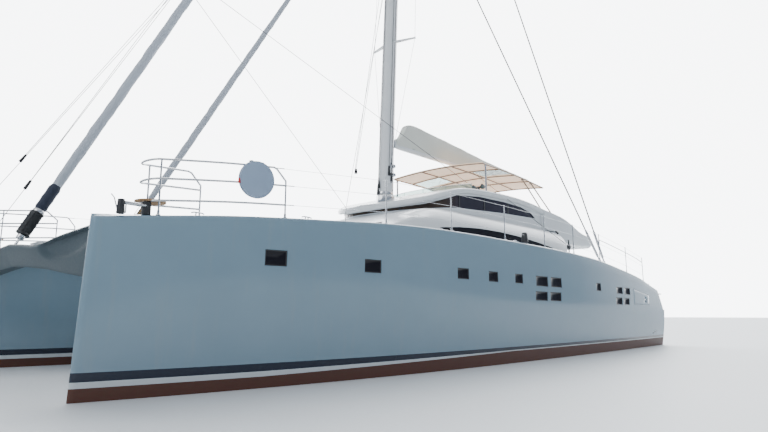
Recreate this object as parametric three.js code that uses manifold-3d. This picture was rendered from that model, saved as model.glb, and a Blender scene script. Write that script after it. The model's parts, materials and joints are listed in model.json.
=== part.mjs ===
import * as THREE from 'three';
import { mergeVertices } from 'three/addons/utils/BufferGeometryUtils.js';
import Module from 'manifold-3d';

const wasm = await Module();
wasm.setup();

// Sailing catamaran, 31 m long. Millimetres. +X is forward, +Y is port, +Z is up.
// The origin is on the waterline, on the centreline, half way along the hulls.

// Driving dimensions
const GAP = 0.3;
const LENGTH = 31000;
const STEM_X = LENGTH / 2;
const STERN_X = -LENGTH / 2;
const HULL_Y = 5100;
const STEM_RAKE = 150;
const HALF_WATER = 1540;
const HALF_WATER_STERN = 1250;
const HALF_DECK = 1640;
const HALF_DECK_STERN = 1500;
const STEM_HALF = 45;
const DECK_CROWN = 50;
const DRAFT = 1800;
const BRIDGE_TOP = 3300;
const BRIDGE_UNDER = 1450;
const FOREDECK_TOP = 3950;
const FOREDECK_AFT = 4300;
const FOREDECK_FRONT = 8600;
const INNER_REACH = 4000;
const WALL = 70;
const GLASS = 12;
const SALOON_FRONT = 5400;
const SALOON_AFT = -9300;
const DECKHOUSE_NOSE = 1600;
const DECKHOUSE_SHOULDER = -900;
const DECKHOUSE_AFT = -8300;
const DECKHOUSE_HALF = 3050;
const ROOF_NOSE = 1900;
const ROOF_AFT = -13900;
const ROOF_HALF = 3300;
const WELL_FRONT = -2600;
const WELL_HALF = 2450;
const WELL_FLOOR = 6300;
const AFT_WELL_FRONT = -9800;
const AFT_WELL_HALF = 3250;
const AFT_WELL_FLOOR = 5650;
const MAST_FOOT_Z = 6720;
const MAST_TOP_Z = 36800;
const MAST_X_AT_WATER = 742;
const MAST_RAKE = 0.0455;
const MAST_ALONG = 390;
const MAST_ACROSS = 250;
const BOOM_Z = 9320;
const BOOM_END_X = -13200;
const CHAINPLATE = { x: -7600, y: 6500 };

// Colours seen in the photo, with roughness and metalness
const FINISH = {
  gelcoat: [0xdfe6ea, 0.18, 0],
  antifouling: [0x6b2f28, 0.8, 0],
  white: [0xf2f2ee, 0.3, 0],
  darkGlass: [0x2b2a38, 0.08, 0],
  clearGlass: [0xa9c4c2, 0.05, 0],
  metal: [0xc9cdd0, 0.25, 1],
  mastPaint: [0xe9edf0, 0.35, 0.1],
  bronze: [0xa98a58, 0.35, 1],
  black: [0x1b1d20, 0.6, 0],
  furled: [0xc3c9cf, 0.75, 0],
  coverCloth: [0xe6e8e0, 0.85, 0],
  canopyCloth: [0xe6cdb4, 0.85, 0],
  teak: [0xa57c50, 0.7, 0],
  net: [0x30343a, 0.9, 0],
  cushion: [0xd9d2c4, 0.9, 0],
  rod: [0x44484d, 0.4, 0.8],
};

const boat = new THREE.Group();

// Geometry helpers

function vector(x, y, z) {
  return new THREE.Vector3(x, y, z);
}

function signedVolume(geometry) {
  const position = geometry.attributes.position;
  const index = geometry.index;
  const corners = [vector(), vector(), vector()];
  let sum = 0;
  for (let i = 0; i < index.count; i += 3) {
    corners.forEach((corner, k) => corner.fromBufferAttribute(position, index.getX(i + k)));
    sum += corners[0].dot(corners[1].clone().cross(corners[2]));
  }
  return sum / 6;
}

function solid(geometry) {
  const bare = geometry.clone();
  bare.deleteAttribute('normal');
  bare.deleteAttribute('uv');
  const merged = mergeVertices(bare, 1e-3);
  const triangles = Uint32Array.from(merged.index.array);
  if (signedVolume(merged) < 0) {
    for (let i = 0; i < triangles.length; i += 3) {
      [triangles[i], triangles[i + 1]] = [triangles[i + 1], triangles[i]];
    }
  }
  const vertices = Float32Array.from(merged.attributes.position.array);
  const mesh = new wasm.Mesh({ numProp: 3, vertProperties: vertices, triVerts: triangles });
  mesh.merge();
  return new wasm.Manifold(mesh);
}

function geometryOf(body) {
  const mesh = body.getMesh();
  const geometry = new THREE.BufferGeometry();
  geometry.setAttribute('position', new THREE.BufferAttribute(mesh.vertProperties.slice(), 3));
  geometry.setIndex(new THREE.BufferAttribute(mesh.triVerts.slice(), 1));
  geometry.computeVertexNormals();
  return geometry;
}

function addPiece(name, body, finish) {
  const [color, roughness, metalness] = FINISH[finish];
  const material = new THREE.MeshStandardMaterial({ color, roughness, metalness });
  const mesh = new THREE.Mesh(geometryOf(body), material);
  mesh.name = name;
  boat.add(mesh);
}

function union(bodies) {
  return bodies.reduce((whole, body) => whole.add(body));
}

// A height or width read from a table of [x, value] rows, smooth between them
function curveAt(table, x) {
  const rows = [...table].sort((a, b) => a[0] - b[0]);
  if (x <= rows[0][0]) return rows[0][1];
  const last = rows.length - 1;
  if (x >= rows[last][0]) return rows[last][1];
  const i = rows.findIndex((row, k) => k < last && x < rows[k + 1][0]);
  const slope = (k) => {
    const before = rows[Math.max(k - 1, 0)];
    const after = rows[Math.min(k + 1, last)];
    return (after[1] - before[1]) / (after[0] - before[0]);
  };
  const step = rows[i + 1][0] - rows[i][0];
  const t = (x - rows[i][0]) / step;
  const blend = t * t * (3 - 2 * t);
  const bend = t * (1 - t) * step;
  return rows[i][1] * (1 - blend) + rows[i + 1][1] * blend + bend * (slope(i) * (1 - t) - slope(i + 1) * t);
}

// The triangles that close a flat ring, turned the way the ring runs
function capOf(ring) {
  const size = new THREE.Box3().setFromPoints(ring).getSize(vector());
  const thin = ['x', 'y', 'z'].reduce((a, b) => (size[a] <= size[b] ? a : b));
  const [u, v] = ['x', 'y', 'z'].filter((axis) => axis !== thin);
  const flat = ring.map((p) => new THREE.Vector2(p[u], p[v]));
  const turn = Math.sign(THREE.ShapeUtils.area(flat));
  return THREE.ShapeUtils.triangulateShape(flat, []).map(([a, b, c]) => {
    const same = Math.sign(THREE.ShapeUtils.area([flat[a], flat[b], flat[c]])) === turn;
    return same ? [a, b, c] : [a, c, b];
  });
}

// A closed loft through flat rings of equal count
function loft(rings) {
  const count = rings[0].length;
  const points = rings.flat();
  const triangles = [];
  for (let r = 0; r + 1 < rings.length; r += 1) {
    for (let k = 0; k < count; k += 1) {
      const a = r * count + k;
      const b = r * count + ((k + 1) % count);
      triangles.push(a, b, a + count, b, b + count, a + count);
    }
  }
  const lastRing = (rings.length - 1) * count;
  for (const [a, b, c] of capOf(rings[0])) triangles.push(a, c, b);
  for (const [a, b, c] of capOf(rings[rings.length - 1])) {
    triangles.push(lastRing + a, lastRing + b, lastRing + c);
  }
  const geometry = new THREE.BufferGeometry().setFromPoints(points);
  geometry.setIndex(triangles);
  return solid(geometry);
}

function box(x0, x1, y0, y1, z0, z1) {
  const geometry = new THREE.BoxGeometry(Math.abs(x1 - x0), Math.abs(y1 - y0), Math.abs(z1 - z0));
  return solid(geometry.translate((x0 + x1) / 2, (y0 + y1) / 2, (z0 + z1) / 2));
}

// An outline of [x, z] points carried from y0 to y1
function prismXZ(outline, y0, y1) {
  const shape = new THREE.Shape(outline.map(([x, z]) => new THREE.Vector2(x, z)));
  const geometry = new THREE.ExtrudeGeometry(shape, { depth: Math.abs(y1 - y0), bevelEnabled: false });
  return solid(geometry.rotateX(Math.PI / 2).translate(0, Math.max(y0, y1), 0));
}

// The same, drawn in by an amount on every side
function shrunkPrismXZ(outline, y0, y1, amount) {
  const moves = [[amount, 0], [-amount, 0], [0, amount], [0, -amount]];
  return moves.map(([dx, dz]) => prismXZ(outline.map(([x, z]) => [x + dx, z + dz]), y0, y1))
    .reduce((common, body) => common.intersect(body));
}

// An outline of [x, y] points carried from z0 to z1
function prismXY(outline, z0, z1) {
  const shape = new THREE.Shape(outline.map(([x, y]) => new THREE.Vector2(x, y)));
  const geometry = new THREE.ExtrudeGeometry(shape, { depth: z1 - z0, bevelEnabled: false });
  return solid(geometry.translate(0, 0, z0));
}

// A round bar between two points, tapering if a second radius is given
function bar(from, to, radius, sides = 8, endRadius = radius) {
  const length = from.distanceTo(to);
  const geometry = new THREE.CylinderGeometry(endRadius, radius, length, sides);
  const turn = new THREE.Quaternion().setFromUnitVectors(vector(0, 1, 0), to.clone().sub(from).normalize());
  const middle = from.clone().add(to).divideScalar(2);
  return solid(geometry.applyQuaternion(turn).translate(middle.x, middle.y, middle.z));
}

// A ring of points round a middle, in the plane of two unit directions
function ringAbout(middle, side, up, radius, sides, turn = 0) {
  const ring = [];
  for (let k = 0; k < sides; k += 1) {
    const angle = ((k + turn) / sides) * 2 * Math.PI;
    const across = side.clone().multiplyScalar(radius * Math.cos(angle));
    ring.push(middle.clone().add(across).addScaledVector(up, radius * Math.sin(angle)));
  }
  return ring;
}

// A bent tube through points, with its joints cut on the bisecting planes
function tube(points, radius, sides = 4) {
  const direction = (i) => points[i + 1].clone().sub(points[i]).normalize();
  const last = points.length - 1;
  return loft(points.map((point, i) => {
    const before = direction(Math.max(i - 1, 0));
    const after = direction(Math.min(i, last - 1));
    const along = before.clone().add(after).normalize();
    const upright = Math.abs(along.z) > 0.9 ? vector(1, 0, 0) : vector(0, 0, 1);
    const side = upright.clone().cross(along).normalize();
    return ringAbout(point, side, along.clone().cross(side), radius, sides, 0.5);
  }));
}

function mirrored(body) {
  return body.mirror([0, 1, 0]);
}

// Hull form

// x, height of the deck edge
const SHEER = [
  [15500, 3610], [14100, 3735], [12400, 3880], [10200, 4010], [7400, 4170], [5000, 4225], [1900, 4228],
  [-1900, 4200], [-4400, 4140], [-6600, 4035], [-9000, 3810], [-11800, 3480], [-13300, 3180], [-15500, 2760],
];
// x, depth of the hull's lowest line
const KEEL_LINE = [
  [15500, -250], [15100, -700], [14000, -980], [10000, -1180], [0, -1250], [-5000, -1160],
  [-9000, -980], [-12000, -600], [-15500, -280],
];
const HULL_STATIONS = [
  15500, 15380, 15100, 14600, 13900, 13000, 11800, 10200, 8300, 6300, 4300, 2300, 300,
  -1700, -3700, -5700, -7700, -9500, -11000, -12400, -13600, -14600, -15500,
];

function fullness(start, power, distance) {
  return distance >= start ? 1 : 1 - (1 - distance / start) ** power;
}

function halfBeamAtWater(x) {
  const s = (STEM_X - x) / LENGTH;
  const run = Math.max(0, (s - 0.55) / 0.45);
  return STEM_HALF + (HALF_WATER - STEM_HALF) * fullness(0.55, 2.67, s)
    - (HALF_WATER - HALF_WATER_STERN) * run * run;
}

function halfBeamAtDeck(x) {
  const s = (STEM_X - x) / LENGTH;
  const run = Math.max(0, (s - 0.5) / 0.5);
  return 2 * STEM_HALF + (HALF_DECK - 2 * STEM_HALF) * fullness(0.5, 3.1, s)
    - (HALF_DECK - HALF_DECK_STERN) * run * run;
}

function deckEdge(x) {
  return curveAt(SHEER, x);
}

// One half of a hull section, from the keel line out and up to the deck edge
function hullHalfSection(x) {
  const water = halfBeamAtWater(x);
  const deck = halfBeamAtDeck(x);
  const depth = curveAt(KEEL_LINE, x);
  const sheer = deckEdge(x);
  const points = [];
  const turns = 5;
  for (let k = 0; k <= turns; k += 1) {
    const angle = (k / turns) * (Math.PI / 2);
    points.push([water * Math.sin(angle) ** 0.9, depth * Math.cos(angle) ** 0.9]);
  }
  for (const t of [0.2, 0.45, 0.75, 1]) {
    points.push([water + (deck - water) * t + 0.05 * deck * Math.sin(Math.PI * t), sheer * t]);
  }
  return points;
}

function hullRing(x) {
  const half = hullHalfSection(x);
  const crown = [0, deckEdge(x) + DECK_CROWN];
  const rightSide = half.slice(1).map(([y, z]) => [-y, z]).reverse();
  const nearBow = THREE.MathUtils.clamp((x - 9000) / (STEM_X - 9000), 0, 1) ** 3;
  return [...half, crown, ...rightSide].map(([y, z]) => {
    const rake = STEM_RAKE * nearBow * Math.max(z, 0) / SHEER[0][1];
    return vector(x - rake, HULL_Y + y, z);
  });
}

const PLAIN_HULL = loft(HULL_STATIONS.map(hullRing));

// Stern steps: a bathing platform just over the water and treads up to the deck
const STEP = { platformZ: 520, platformFront: -14500, rise: 330, run: 300, count: 7, half: 1050 };

function sternSteps() {
  const outline = [[STERN_X - 500, STEP.platformZ], [STEP.platformFront, STEP.platformZ]];
  for (let i = 1; i <= STEP.count; i += 1) {
    const x = STEP.platformFront + (i - 1) * STEP.run;
    const z = STEP.platformZ + i * STEP.rise;
    outline.push([x, z], [x + STEP.run, z]);
  }
  const topX = STEP.platformFront + STEP.count * STEP.run;
  outline.push([topX, 4500], [STERN_X - 500, 4500]);
  return prismXZ(outline, HULL_Y - STEP.half, HULL_Y + STEP.half);
}

// The transom leans forward above this height
function transomSlope() {
  const outline = [[-15340, 1880], [-14600, 2760], [-14250, 3200], [-16500, 3200], [-16500, 1880]];
  return prismXZ(outline, HULL_Y - 2500, HULL_Y + 2500);
}

// Boarding door in the hull's outer side, hinged along its lower edge
const DOOR = {
  front: -10600, aft: -12900, bottom: 2120, top: 2890, slope: 0.115, thick: 60, gap: 8, topGap: 12,
  recess: 420,
};

function doorOutline(open) {
  const gap = open ? 0 : DOOR.gap;
  const front = DOOR.front - gap;
  const aft = DOOR.aft + gap;
  const low = open ? DOOR.bottom : DOOR.bottom + GAP;
  const top = open ? DOOR.top : DOOR.top - DOOR.topGap;
  return [[front, low], [front, top], [aft, top - DOOR.slope * (front - aft)], [aft, low]];
}

const doorSideY = HULL_Y + halfBeamAtDeck((DOOR.front + DOOR.aft) / 2);
const doorRecess = prismXZ(doorOutline(true), doorSideY - DOOR.recess, doorSideY + 900);

// Rudder and propeller shaft, each under its own hull
const RUDDER = {
  x: -13350, top: -640, bottom: -1740, front: 230, aft: 760, half: 65, stock: 60, stockTop: 100,
};
const SHAFT = { radius: 40, start: -12450, startZ: -1170, end: -7600, lean: 4 };
const BORE_SIDES = 24;

function shaftPoint(x) {
  const slope = Math.tan(THREE.MathUtils.degToRad(SHAFT.lean));
  return vector(x, HULL_Y, SHAFT.startZ + (x - SHAFT.start) * slope);
}

function boreRadius(radius, sides) {
  return (radius + 0.15) / Math.cos(Math.PI / sides);
}

function stockBar(radius) {
  const foot = vector(RUDDER.x, HULL_Y, RUDDER.top - 50);
  return bar(foot, vector(RUDDER.x, HULL_Y, RUDDER.stockTop), radius, BORE_SIDES);
}

function portHull() {
  const stockRadius = boreRadius(RUDDER.stock, BORE_SIDES);
  const stockTop = vector(RUDDER.x, HULL_Y, RUDDER.stockTop + GAP);
  const stockHole = bar(vector(RUDDER.x, HULL_Y, -2000), stockTop, stockRadius, BORE_SIDES);
  const shaftRadius = boreRadius(SHAFT.radius, BORE_SIDES);
  const shaftHole = bar(shaftPoint(-11000), shaftPoint(SHAFT.end + 1), shaftRadius, BORE_SIDES);
  return PLAIN_HULL.subtract(sternSteps()).subtract(transomSlope()).subtract(doorRecess)
    .subtract(stockHole).subtract(shaftHole);
}

const hullPort = portHull();
const hullStarboard = mirrored(hullPort);
// The hulls moved a hair inwards and upwards, to cut what meets them
const hullCutter = hullPort.translate([0, -GAP, GAP]).add(hullStarboard.translate([0, GAP, GAP]));

function portDoor() {
  const skin = PLAIN_HULL.subtract(PLAIN_HULL.translate([0, -DOOR.thick, 0]));
  return skin.intersect(prismXZ(doorOutline(false), HULL_Y, doorSideY + 900));
}

// Low keel under each hull
const KEEL = { front: 1800, aft: -4200, tipFront: 900, tipAft: -3700, half: 140, tipHalf: 110, top: -1000 };

function portKeel() {
  const ring = (z, front, aft, half) => [
    vector(front, HULL_Y, z), vector(front - 500, HULL_Y + half, z), vector(aft + 1200, HULL_Y + half, z),
    vector(aft, HULL_Y, z), vector(aft + 1200, HULL_Y - half, z), vector(front - 500, HULL_Y - half, z),
  ];
  const body = loft([
    ring(KEEL.top, KEEL.front, KEEL.aft, KEEL.half),
    ring(-DRAFT, KEEL.tipFront, KEEL.tipAft, KEEL.tipHalf),
  ]);
  return body.subtract(PLAIN_HULL.translate([0, 0, -GAP]));
}

function portRudder() {
  const section = (z, front, aft, half) => [
    [front, 0], [front * 0.6, half * 0.8], [0, half], [-aft * 0.5, half * 0.6],
    [-aft, 0], [-aft * 0.5, -half * 0.6], [0, -half], [front * 0.6, -half * 0.8],
  ].map(([x, y]) => vector(RUDDER.x + x, HULL_Y + y, z));
  const blade = loft([
    section(RUDDER.top, RUDDER.front, RUDDER.aft, RUDDER.half),
    section(RUDDER.bottom, RUDDER.front * 0.6, RUDDER.aft * 0.75, RUDDER.half * 0.6),
  ]);
  return blade.add(stockBar(RUDDER.stock));
}

// Propeller of four blades on a hub, on its sloping shaft
const PROPELLER = { radius: 330, hub: 75, hubLength: 260, blades: 4, thick: 22, pitch: 32 };

function portPropeller() {
  const parts = [];
  const hub = new THREE.CylinderGeometry(PROPELLER.hub, PROPELLER.hub * 0.55, PROPELLER.hubLength, 12);
  parts.push(solid(hub.rotateZ(-Math.PI / 2)));
  const outline = new THREE.Shape();
  outline.moveTo(-60, 40);
  outline.bezierCurveTo(-190, 170, -120, PROPELLER.radius, 20, PROPELLER.radius);
  outline.bezierCurveTo(130, PROPELLER.radius - 20, 140, 150, 60, 40);
  for (let i = 0; i < PROPELLER.blades; i += 1) {
    const flat = { depth: PROPELLER.thick, bevelEnabled: false, curveSegments: 3 };
    const blade = new THREE.ExtrudeGeometry(outline, flat);
    blade.translate(0, 0, -PROPELLER.thick / 2);
    blade.rotateX(Math.PI / 2);
    blade.rotateZ(THREE.MathUtils.degToRad(90 - PROPELLER.pitch));
    blade.rotateX((i / PROPELLER.blades) * 2 * Math.PI);
    parts.push(solid(blade));
  }
  const place = shaftPoint(SHAFT.start - PROPELLER.hubLength / 2);
  const turned = union(parts).rotate([0, -SHAFT.lean, 0]).translate([place.x, place.y, place.z]);
  return turned.add(bar(shaftPoint(SHAFT.start - 50), shaftPoint(SHAFT.end), SHAFT.radius, BORE_SIDES));
}

function portShaftBracket() {
  const x0 = SHAFT.start + 60;
  const x1 = x0 + 240;
  const barrel = bar(shaftPoint(x0), shaftPoint(x1), 75, BORE_SIDES);
  const strut = box(x0 + 40, x1 - 40, HULL_Y - 18, HULL_Y + 18, SHAFT.startZ, -300);
  const boreWidth = boreRadius(SHAFT.radius, BORE_SIDES);
  const bore = bar(shaftPoint(x0 - 200), shaftPoint(x1 + 200), boreWidth, BORE_SIDES);
  return barrel.add(strut).subtract(bore).subtract(PLAIN_HULL.translate([0, 0, -GAP]));
}

// Bridge deck between the hulls, with its raised front and the foredeck on it

function bridgeDeck() {
  const outline = [
    [FOREDECK_FRONT, BRIDGE_TOP], [8100, 2500], [7300, 1800], [6300, BRIDGE_UNDER],
    [-12600, BRIDGE_UNDER], [-13300, 1800], [-13300, BRIDGE_TOP],
  ];
  return prismXZ(outline, -INNER_REACH, INNER_REACH).subtract(hullCutter);
}

// A lid on each side lies in a rebate over a locker in the foredeck
const HATCH = { x0: 6300, x1: 7100, y0: 900, y1: 1700, rebate: 50, proud: 10, gap: 8, ledge: 40, deep: 520 };

function foredeck() {
  const low = BRIDGE_TOP + GAP;
  const outline = [[FOREDECK_AFT, low], [FOREDECK_AFT, FOREDECK_TOP], [7600, FOREDECK_TOP],
    [FOREDECK_FRONT, FOREDECK_TOP - 60], [FOREDECK_FRONT, low]];
  const cuts = [-1, 1].map((side) => {
    const { x0, x1, y0, y1, rebate, ledge, deep } = HATCH;
    const top = FOREDECK_TOP + 100;
    const seat = box(x0, x1, side * y0, side * y1, FOREDECK_TOP - rebate, top);
    const [near, far] = [side * (y0 + ledge), side * (y1 - ledge)];
    return seat.add(box(x0 + ledge, x1 - ledge, near, far, FOREDECK_TOP - deep, top));
  });
  return prismXZ(outline, -INNER_REACH, INNER_REACH).subtract(hullCutter).subtract(union(cuts));
}

function foredeckLid(side) {
  const { x0, x1, y0, y1, gap, rebate, proud } = HATCH;
  return box(x0 + gap, x1 - gap, side * (y0 + gap), side * (y1 - gap),
    FOREDECK_TOP - rebate + GAP, FOREDECK_TOP + proud);
}

// Bow beam, rising to the hull decks in a moulded fairing
const BEAM = { front: 15230, aft: 14560, lip: 60 };

function bowBeam() {
  const stations = [
    // y, top, underside
    [0, 3430, 2860], [900, 3360, 2800], [1600, 3290, 2740], [2300, 3310, 2680], [3200, 3400, 2560],
    [4800, 3500, 2370],
  ];
  const ring = ([y, top, under]) => [
    vector(BEAM.front, y, top - BEAM.lip), vector(BEAM.front - BEAM.lip, y, top),
    vector(BEAM.aft + BEAM.lip, y, top), vector(BEAM.aft, y, top - BEAM.lip),
    vector(BEAM.aft + 120, y, under), vector(BEAM.front - 140, y, under),
  ];
  const starboard = stations.slice(1).reverse().map(([y, top, under]) => ring([-y, top, under]));
  return loft([...starboard, ...stations.map(ring)]).subtract(hullCutter);
}

const CATWALK = { half: 380, top: 3640, under: 3440 };

function catwalk() {
  const outline = [[FOREDECK_FRONT + GAP, CATWALK.under - 260], [FOREDECK_FRONT + GAP, CATWALK.top],
    [BEAM.aft - GAP, CATWALK.top - 100], [BEAM.aft - GAP, CATWALK.under - 120]];
  return prismXZ(outline, -CATWALK.half, CATWALK.half);
}

function portTrampoline() {
  const [z, rise, thick] = [3220, 290, 25];
  const outline = [[FOREDECK_FRONT + GAP, z + rise], [BEAM.aft - GAP, z], [BEAM.aft - GAP, z - thick],
    [FOREDECK_FRONT + GAP, z + rise - thick]];
  return prismXZ(outline, CATWALK.half + GAP, HULL_Y).subtract(hullCutter);
}

// Superstructure

// x, half width of the saloon at its walls
const SALOON_HALF = [
  [5400, 2500], [5000, 2950], [4000, 3500], [2600, 3880], [1600, 4000], [-8300, 4000], [-9300, 3950],
];
// x, height of the saloon's top
const SALOON_TOP = [
  [5400, 4180], [4600, 4600], [3000, 5320], [1500, 5800], [-1000, 5880], [-8300, 5900], [-9300, 5900],
];
const SALOON_WALL_TOP = 5220;
const SALOON_STATIONS = [
  5400, 5200, 5000, 4750, 4500, 4150, 3800, 3400, 3000, 2650, 2300, 1950, 1600, 800, 0, -1500, -3000,
  -4500, -6000, -8300, -9300,
];
// x, height of the roof's edge: it droops to the nose and sweeps down aft
const ROOF_TOP = [
  [1900, 6190], [800, 6460], [-300, 6840], [-1300, 7020], [-2500, 7120], [-4000, 7180], [-5700, 7190],
  [-7250, 7110], [-8300, 6990], [-9600, 6800], [-10700, 6520], [-11800, 6160], [-12800, 6010], [-13900, 5960],
];
const ROOF_THICK = 250;

function clampedEnd(x, inset, front, aft) {
  return Math.min(front - inset, Math.max(aft + inset, x));
}

function mirroredRing(x, half) {
  const other = half.map(([y, z]) => [-y, z]).reverse();
  return [...half, ...other].map(([y, z]) => vector(x, y, z));
}

function saloonBody(inset, base) {
  return loft(SALOON_STATIONS.map((station) => {
    const x = clampedEnd(station, inset, SALOON_FRONT, SALOON_AFT);
    const half = curveAt(SALOON_HALF, station) - inset;
    const top = curveAt(SALOON_TOP, station) - inset;
    const wallTop = Math.min(SALOON_WALL_TOP, top - 60);
    const shoulder = Math.max(top - 120, wallTop + 30);
    return mirroredRing(x, [[half, base], [half, wallTop], [half - 400, shoulder], [half - 900, top]]);
  }));
}

// Windows: the opening, its bars and a pane behind them
const SIDE_STRIP = [
  [1900, 4900], [500, 5050], [-900, 5140], [-2500, 5160], [-4300, 5110], [-6200, 4990], [-7600, 4860],
  [-7300, 4720], [1100, 4720],
];

const SALOON_PANES = { low: 4420, high: 5050, edge: 2700, bar: 70, x0: 2500, x1: 5600 };

function saloonFrontBand(shrink) {
  const { low, high, edge, x0, x1 } = SALOON_PANES;
  return box(x0, x1, -edge + shrink, edge - shrink, low + shrink, high - shrink);
}

function saloonBars() {
  const { low, high, bar: half, x0, x1 } = SALOON_PANES;
  return union([-900, 900].map((y) => box(x0, x1, y - half, y + half, low - 50, high + 50)));
}

const AFT_DOORWAY = { half: 1600, top: 5250 };

function saloonShell() {
  const sideCut = prismXZ(SIDE_STRIP, -4200, 4200);
  const roofCut = box(DECKHOUSE_AFT + WALL, 900, -2700, 2700, 5400, 6500);
  const { half, top } = AFT_DOORWAY;
  const doorway = box(SALOON_AFT - 100, SALOON_AFT + 200, -half, half, 3200, top);
  const foredeckCut = box(FOREDECK_AFT - GAP, SALOON_FRONT + 100, -5000, 5000, 3000, FOREDECK_TOP + GAP);
  return saloonBody(0, BRIDGE_TOP + GAP).subtract(saloonBody(WALL, 3000))
    .subtract(sideCut)
    .subtract(saloonFrontBand(0).intersect(saloonBody(WALL / 2, 3000)))
    .subtract(saloonFrontBand(0).subtract(saloonBars()))
    .subtract(roofCut).subtract(doorway).subtract(foredeckCut).subtract(hullCutter);
}

function saloonFrontGlass() {
  const skin = saloonBody(WALL / 2 + GAP, 3000).subtract(saloonBody(WALL / 2 + GAP + GLASS, 2900));
  return skin.intersect(saloonFrontBand(GAP));
}

function portSideGlass() {
  const wallY = curveAt(SALOON_HALF, 0);
  return shrunkPrismXZ(SIDE_STRIP, wallY - WALL / 2 - GLASS, wallY - WALL / 2, GAP);
}

function noseHalf(x, nose, shoulder, half) {
  if (x <= shoulder) return half;
  const t = (x - shoulder) / (nose - shoulder);
  return half * Math.sqrt(Math.max(0, 1 - t * t));
}

const DECKHOUSE_STATIONS = [
  1560, 1520, 1450, 1340, 1200, 1020, 800, 540, 250, -50, -350, -620, -900, -1900, -3000, -4200, -5500,
  -6900, -8300,
];

function deckhouseBody(inset, below, above) {
  return loft(DECKHOUSE_STATIONS.map((station) => {
    const x = clampedEnd(station, inset, DECKHOUSE_STATIONS[0], DECKHOUSE_AFT);
    const half = noseHalf(station, DECKHOUSE_NOSE, DECKHOUSE_SHOULDER, DECKHOUSE_HALF) - inset;
    const base = curveAt(SALOON_TOP, station) - below;
    const top = curveAt(ROOF_TOP, station) - ROOF_THICK + above;
    return mirroredRing(x, [[half, base], [half, top]]);
  }));
}

// The dark band round the deckhouse, [x, z] seen from the side: low at the nose and tapering aft
const DECKHOUSE_BAND = [
  [1900, 5850], [1900, 5930], [700, 6150], [-700, 6640], [-2500, 6820], [-4700, 6870], [-6200, 6840],
  [-7200, 6680], [-7700, 6440], [-4300, 6310], [-700, 6090],
];

function deckhouseBand(shrink) {
  return shrunkPrismXZ(DECKHOUSE_BAND, -4000, 4000, shrink);
}

function deckhouseBars() {
  const bars = [-1500, 0, 1500].map((y) => box(-500, 2500, y - 35, y + 35, 5500, 7000));
  for (const x of [-2900, -5000]) bars.push(box(x - 35, x + 35, -4000, 4000, 5500, 7000));
  bars.push(box(-950, -850, -4000, 4000, 5500, 7000));
  return union(bars);
}

function deckhouseShell() {
  return deckhouseBody(0, 100, 100).subtract(deckhouseBody(WALL, 200, 200))
    .subtract(saloonBody(0, BRIDGE_TOP).translate([0, 0, GAP]))
    .subtract(upperDeckBody.translate([0, 0, -GAP]))
    .subtract(box(DECKHOUSE_AFT - 100, WELL_FRONT, -WELL_HALF - 1, WELL_HALF + 1, WELL_FLOOR - 50, 8000))
    .subtract(deckhouseBand(0).intersect(deckhouseBody(WALL / 2, 200, 200)))
    .subtract(deckhouseBand(0).subtract(deckhouseBars()));
}

function deckhouseGlass() {
  const outer = deckhouseBody(WALL / 2 + GAP, 100, 100);
  const inner = deckhouseBody(WALL / 2 + GAP + GLASS, 200, 200);
  const keep = box(-7600, 2500, -4000, 4000, 5000, 8000);
  return outer.subtract(inner).intersect(deckhouseBand(GAP)).intersect(keep);
}

const ROOF_STATIONS = [
  1880, 1820, 1720, 1580, 1400, 1160, 900, 600, 300, 0, -300, -600, -900, -1400, -2000, -3000, -4000,
  -5200, -6500, -7300, -8000, DECKHOUSE_AFT,
];
const OVERHANG_STATIONS = [
  DECKHOUSE_AFT, -8800, -9300, -9750, -10200, -10600, -11000, -11600, -12200, -12800, -13400, -13700,
  ROOF_AFT,
];
// x, half width of the overhang aft of the deckhouse
const OVERHANG_HALF = [
  [-8300, 3300], [-9300, 3420], [-10200, 3550], [-12200, 3600], [-13400, 3550], [-13900, 3300],
];
const OVERHANG_UNDER = 5390;
const MID_STEP = (WELL_FLOOR + AFT_WELL_FLOOR) / 2;
const STAIR = { y0: -2300, y1: -1400, top: -10300, foot: -12500, treads: 9, board: 40 };

function upperDeck() {
  const brow = loft(ROOF_STATIONS.map((x) => {
    const half = noseHalf(x, ROOF_NOSE, DECKHOUSE_SHOULDER, ROOF_HALF);
    const top = curveAt(ROOF_TOP, x);
    const soft = Math.min(90, half / 4);
    return mirroredRing(x, [
      [half - soft, top - ROOF_THICK], [half, top - ROOF_THICK + 90], [half, top - 60], [half - soft, top],
      [half * 0.4, top + 30],
    ]);
  }));
  const overhang = loft(OVERHANG_STATIONS.map((x) => {
    const half = curveAt(OVERHANG_HALF, x);
    const top = curveAt(ROOF_TOP, x);
    return mirroredRing(x, [[half - 120, OVERHANG_UNDER], [half, OVERHANG_UNDER + 120], [half, top - 60],
      [half - 90, top], [half * 0.4, top + 30]]);
  }));
  const tub = box(WELL_FRONT + 100, DECKHOUSE_AFT, -WELL_HALF - 80, WELL_HALF + 80, WELL_FLOOR - 100, 6850);
  const foreWell = box(WELL_FRONT, AFT_WELL_FRONT + 300, -WELL_HALF, WELL_HALF, WELL_FLOOR, 8000);
  const midWell = box(AFT_WELL_FRONT + 350, AFT_WELL_FRONT - 100, -WELL_HALF, WELL_HALF, MID_STEP, 8000);
  const aftWell = box(AFT_WELL_FRONT, ROOF_AFT + 180, -AFT_WELL_HALF, AFT_WELL_HALF, AFT_WELL_FLOOR, 8000);
  const overSaloon = box(SALOON_AFT - GAP, DECKHOUSE_AFT + 2000, -4500, 4500, 4000, 5900 + GAP);
  const stairHole = box(STAIR.top, STAIR.top - 2100, STAIR.y0, STAIR.y1, 5000, 8000);
  return brow.add(overhang).add(tub).subtract(foreWell).subtract(midWell).subtract(aftWell)
    .subtract(overSaloon).subtract(stairHole);
}

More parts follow.
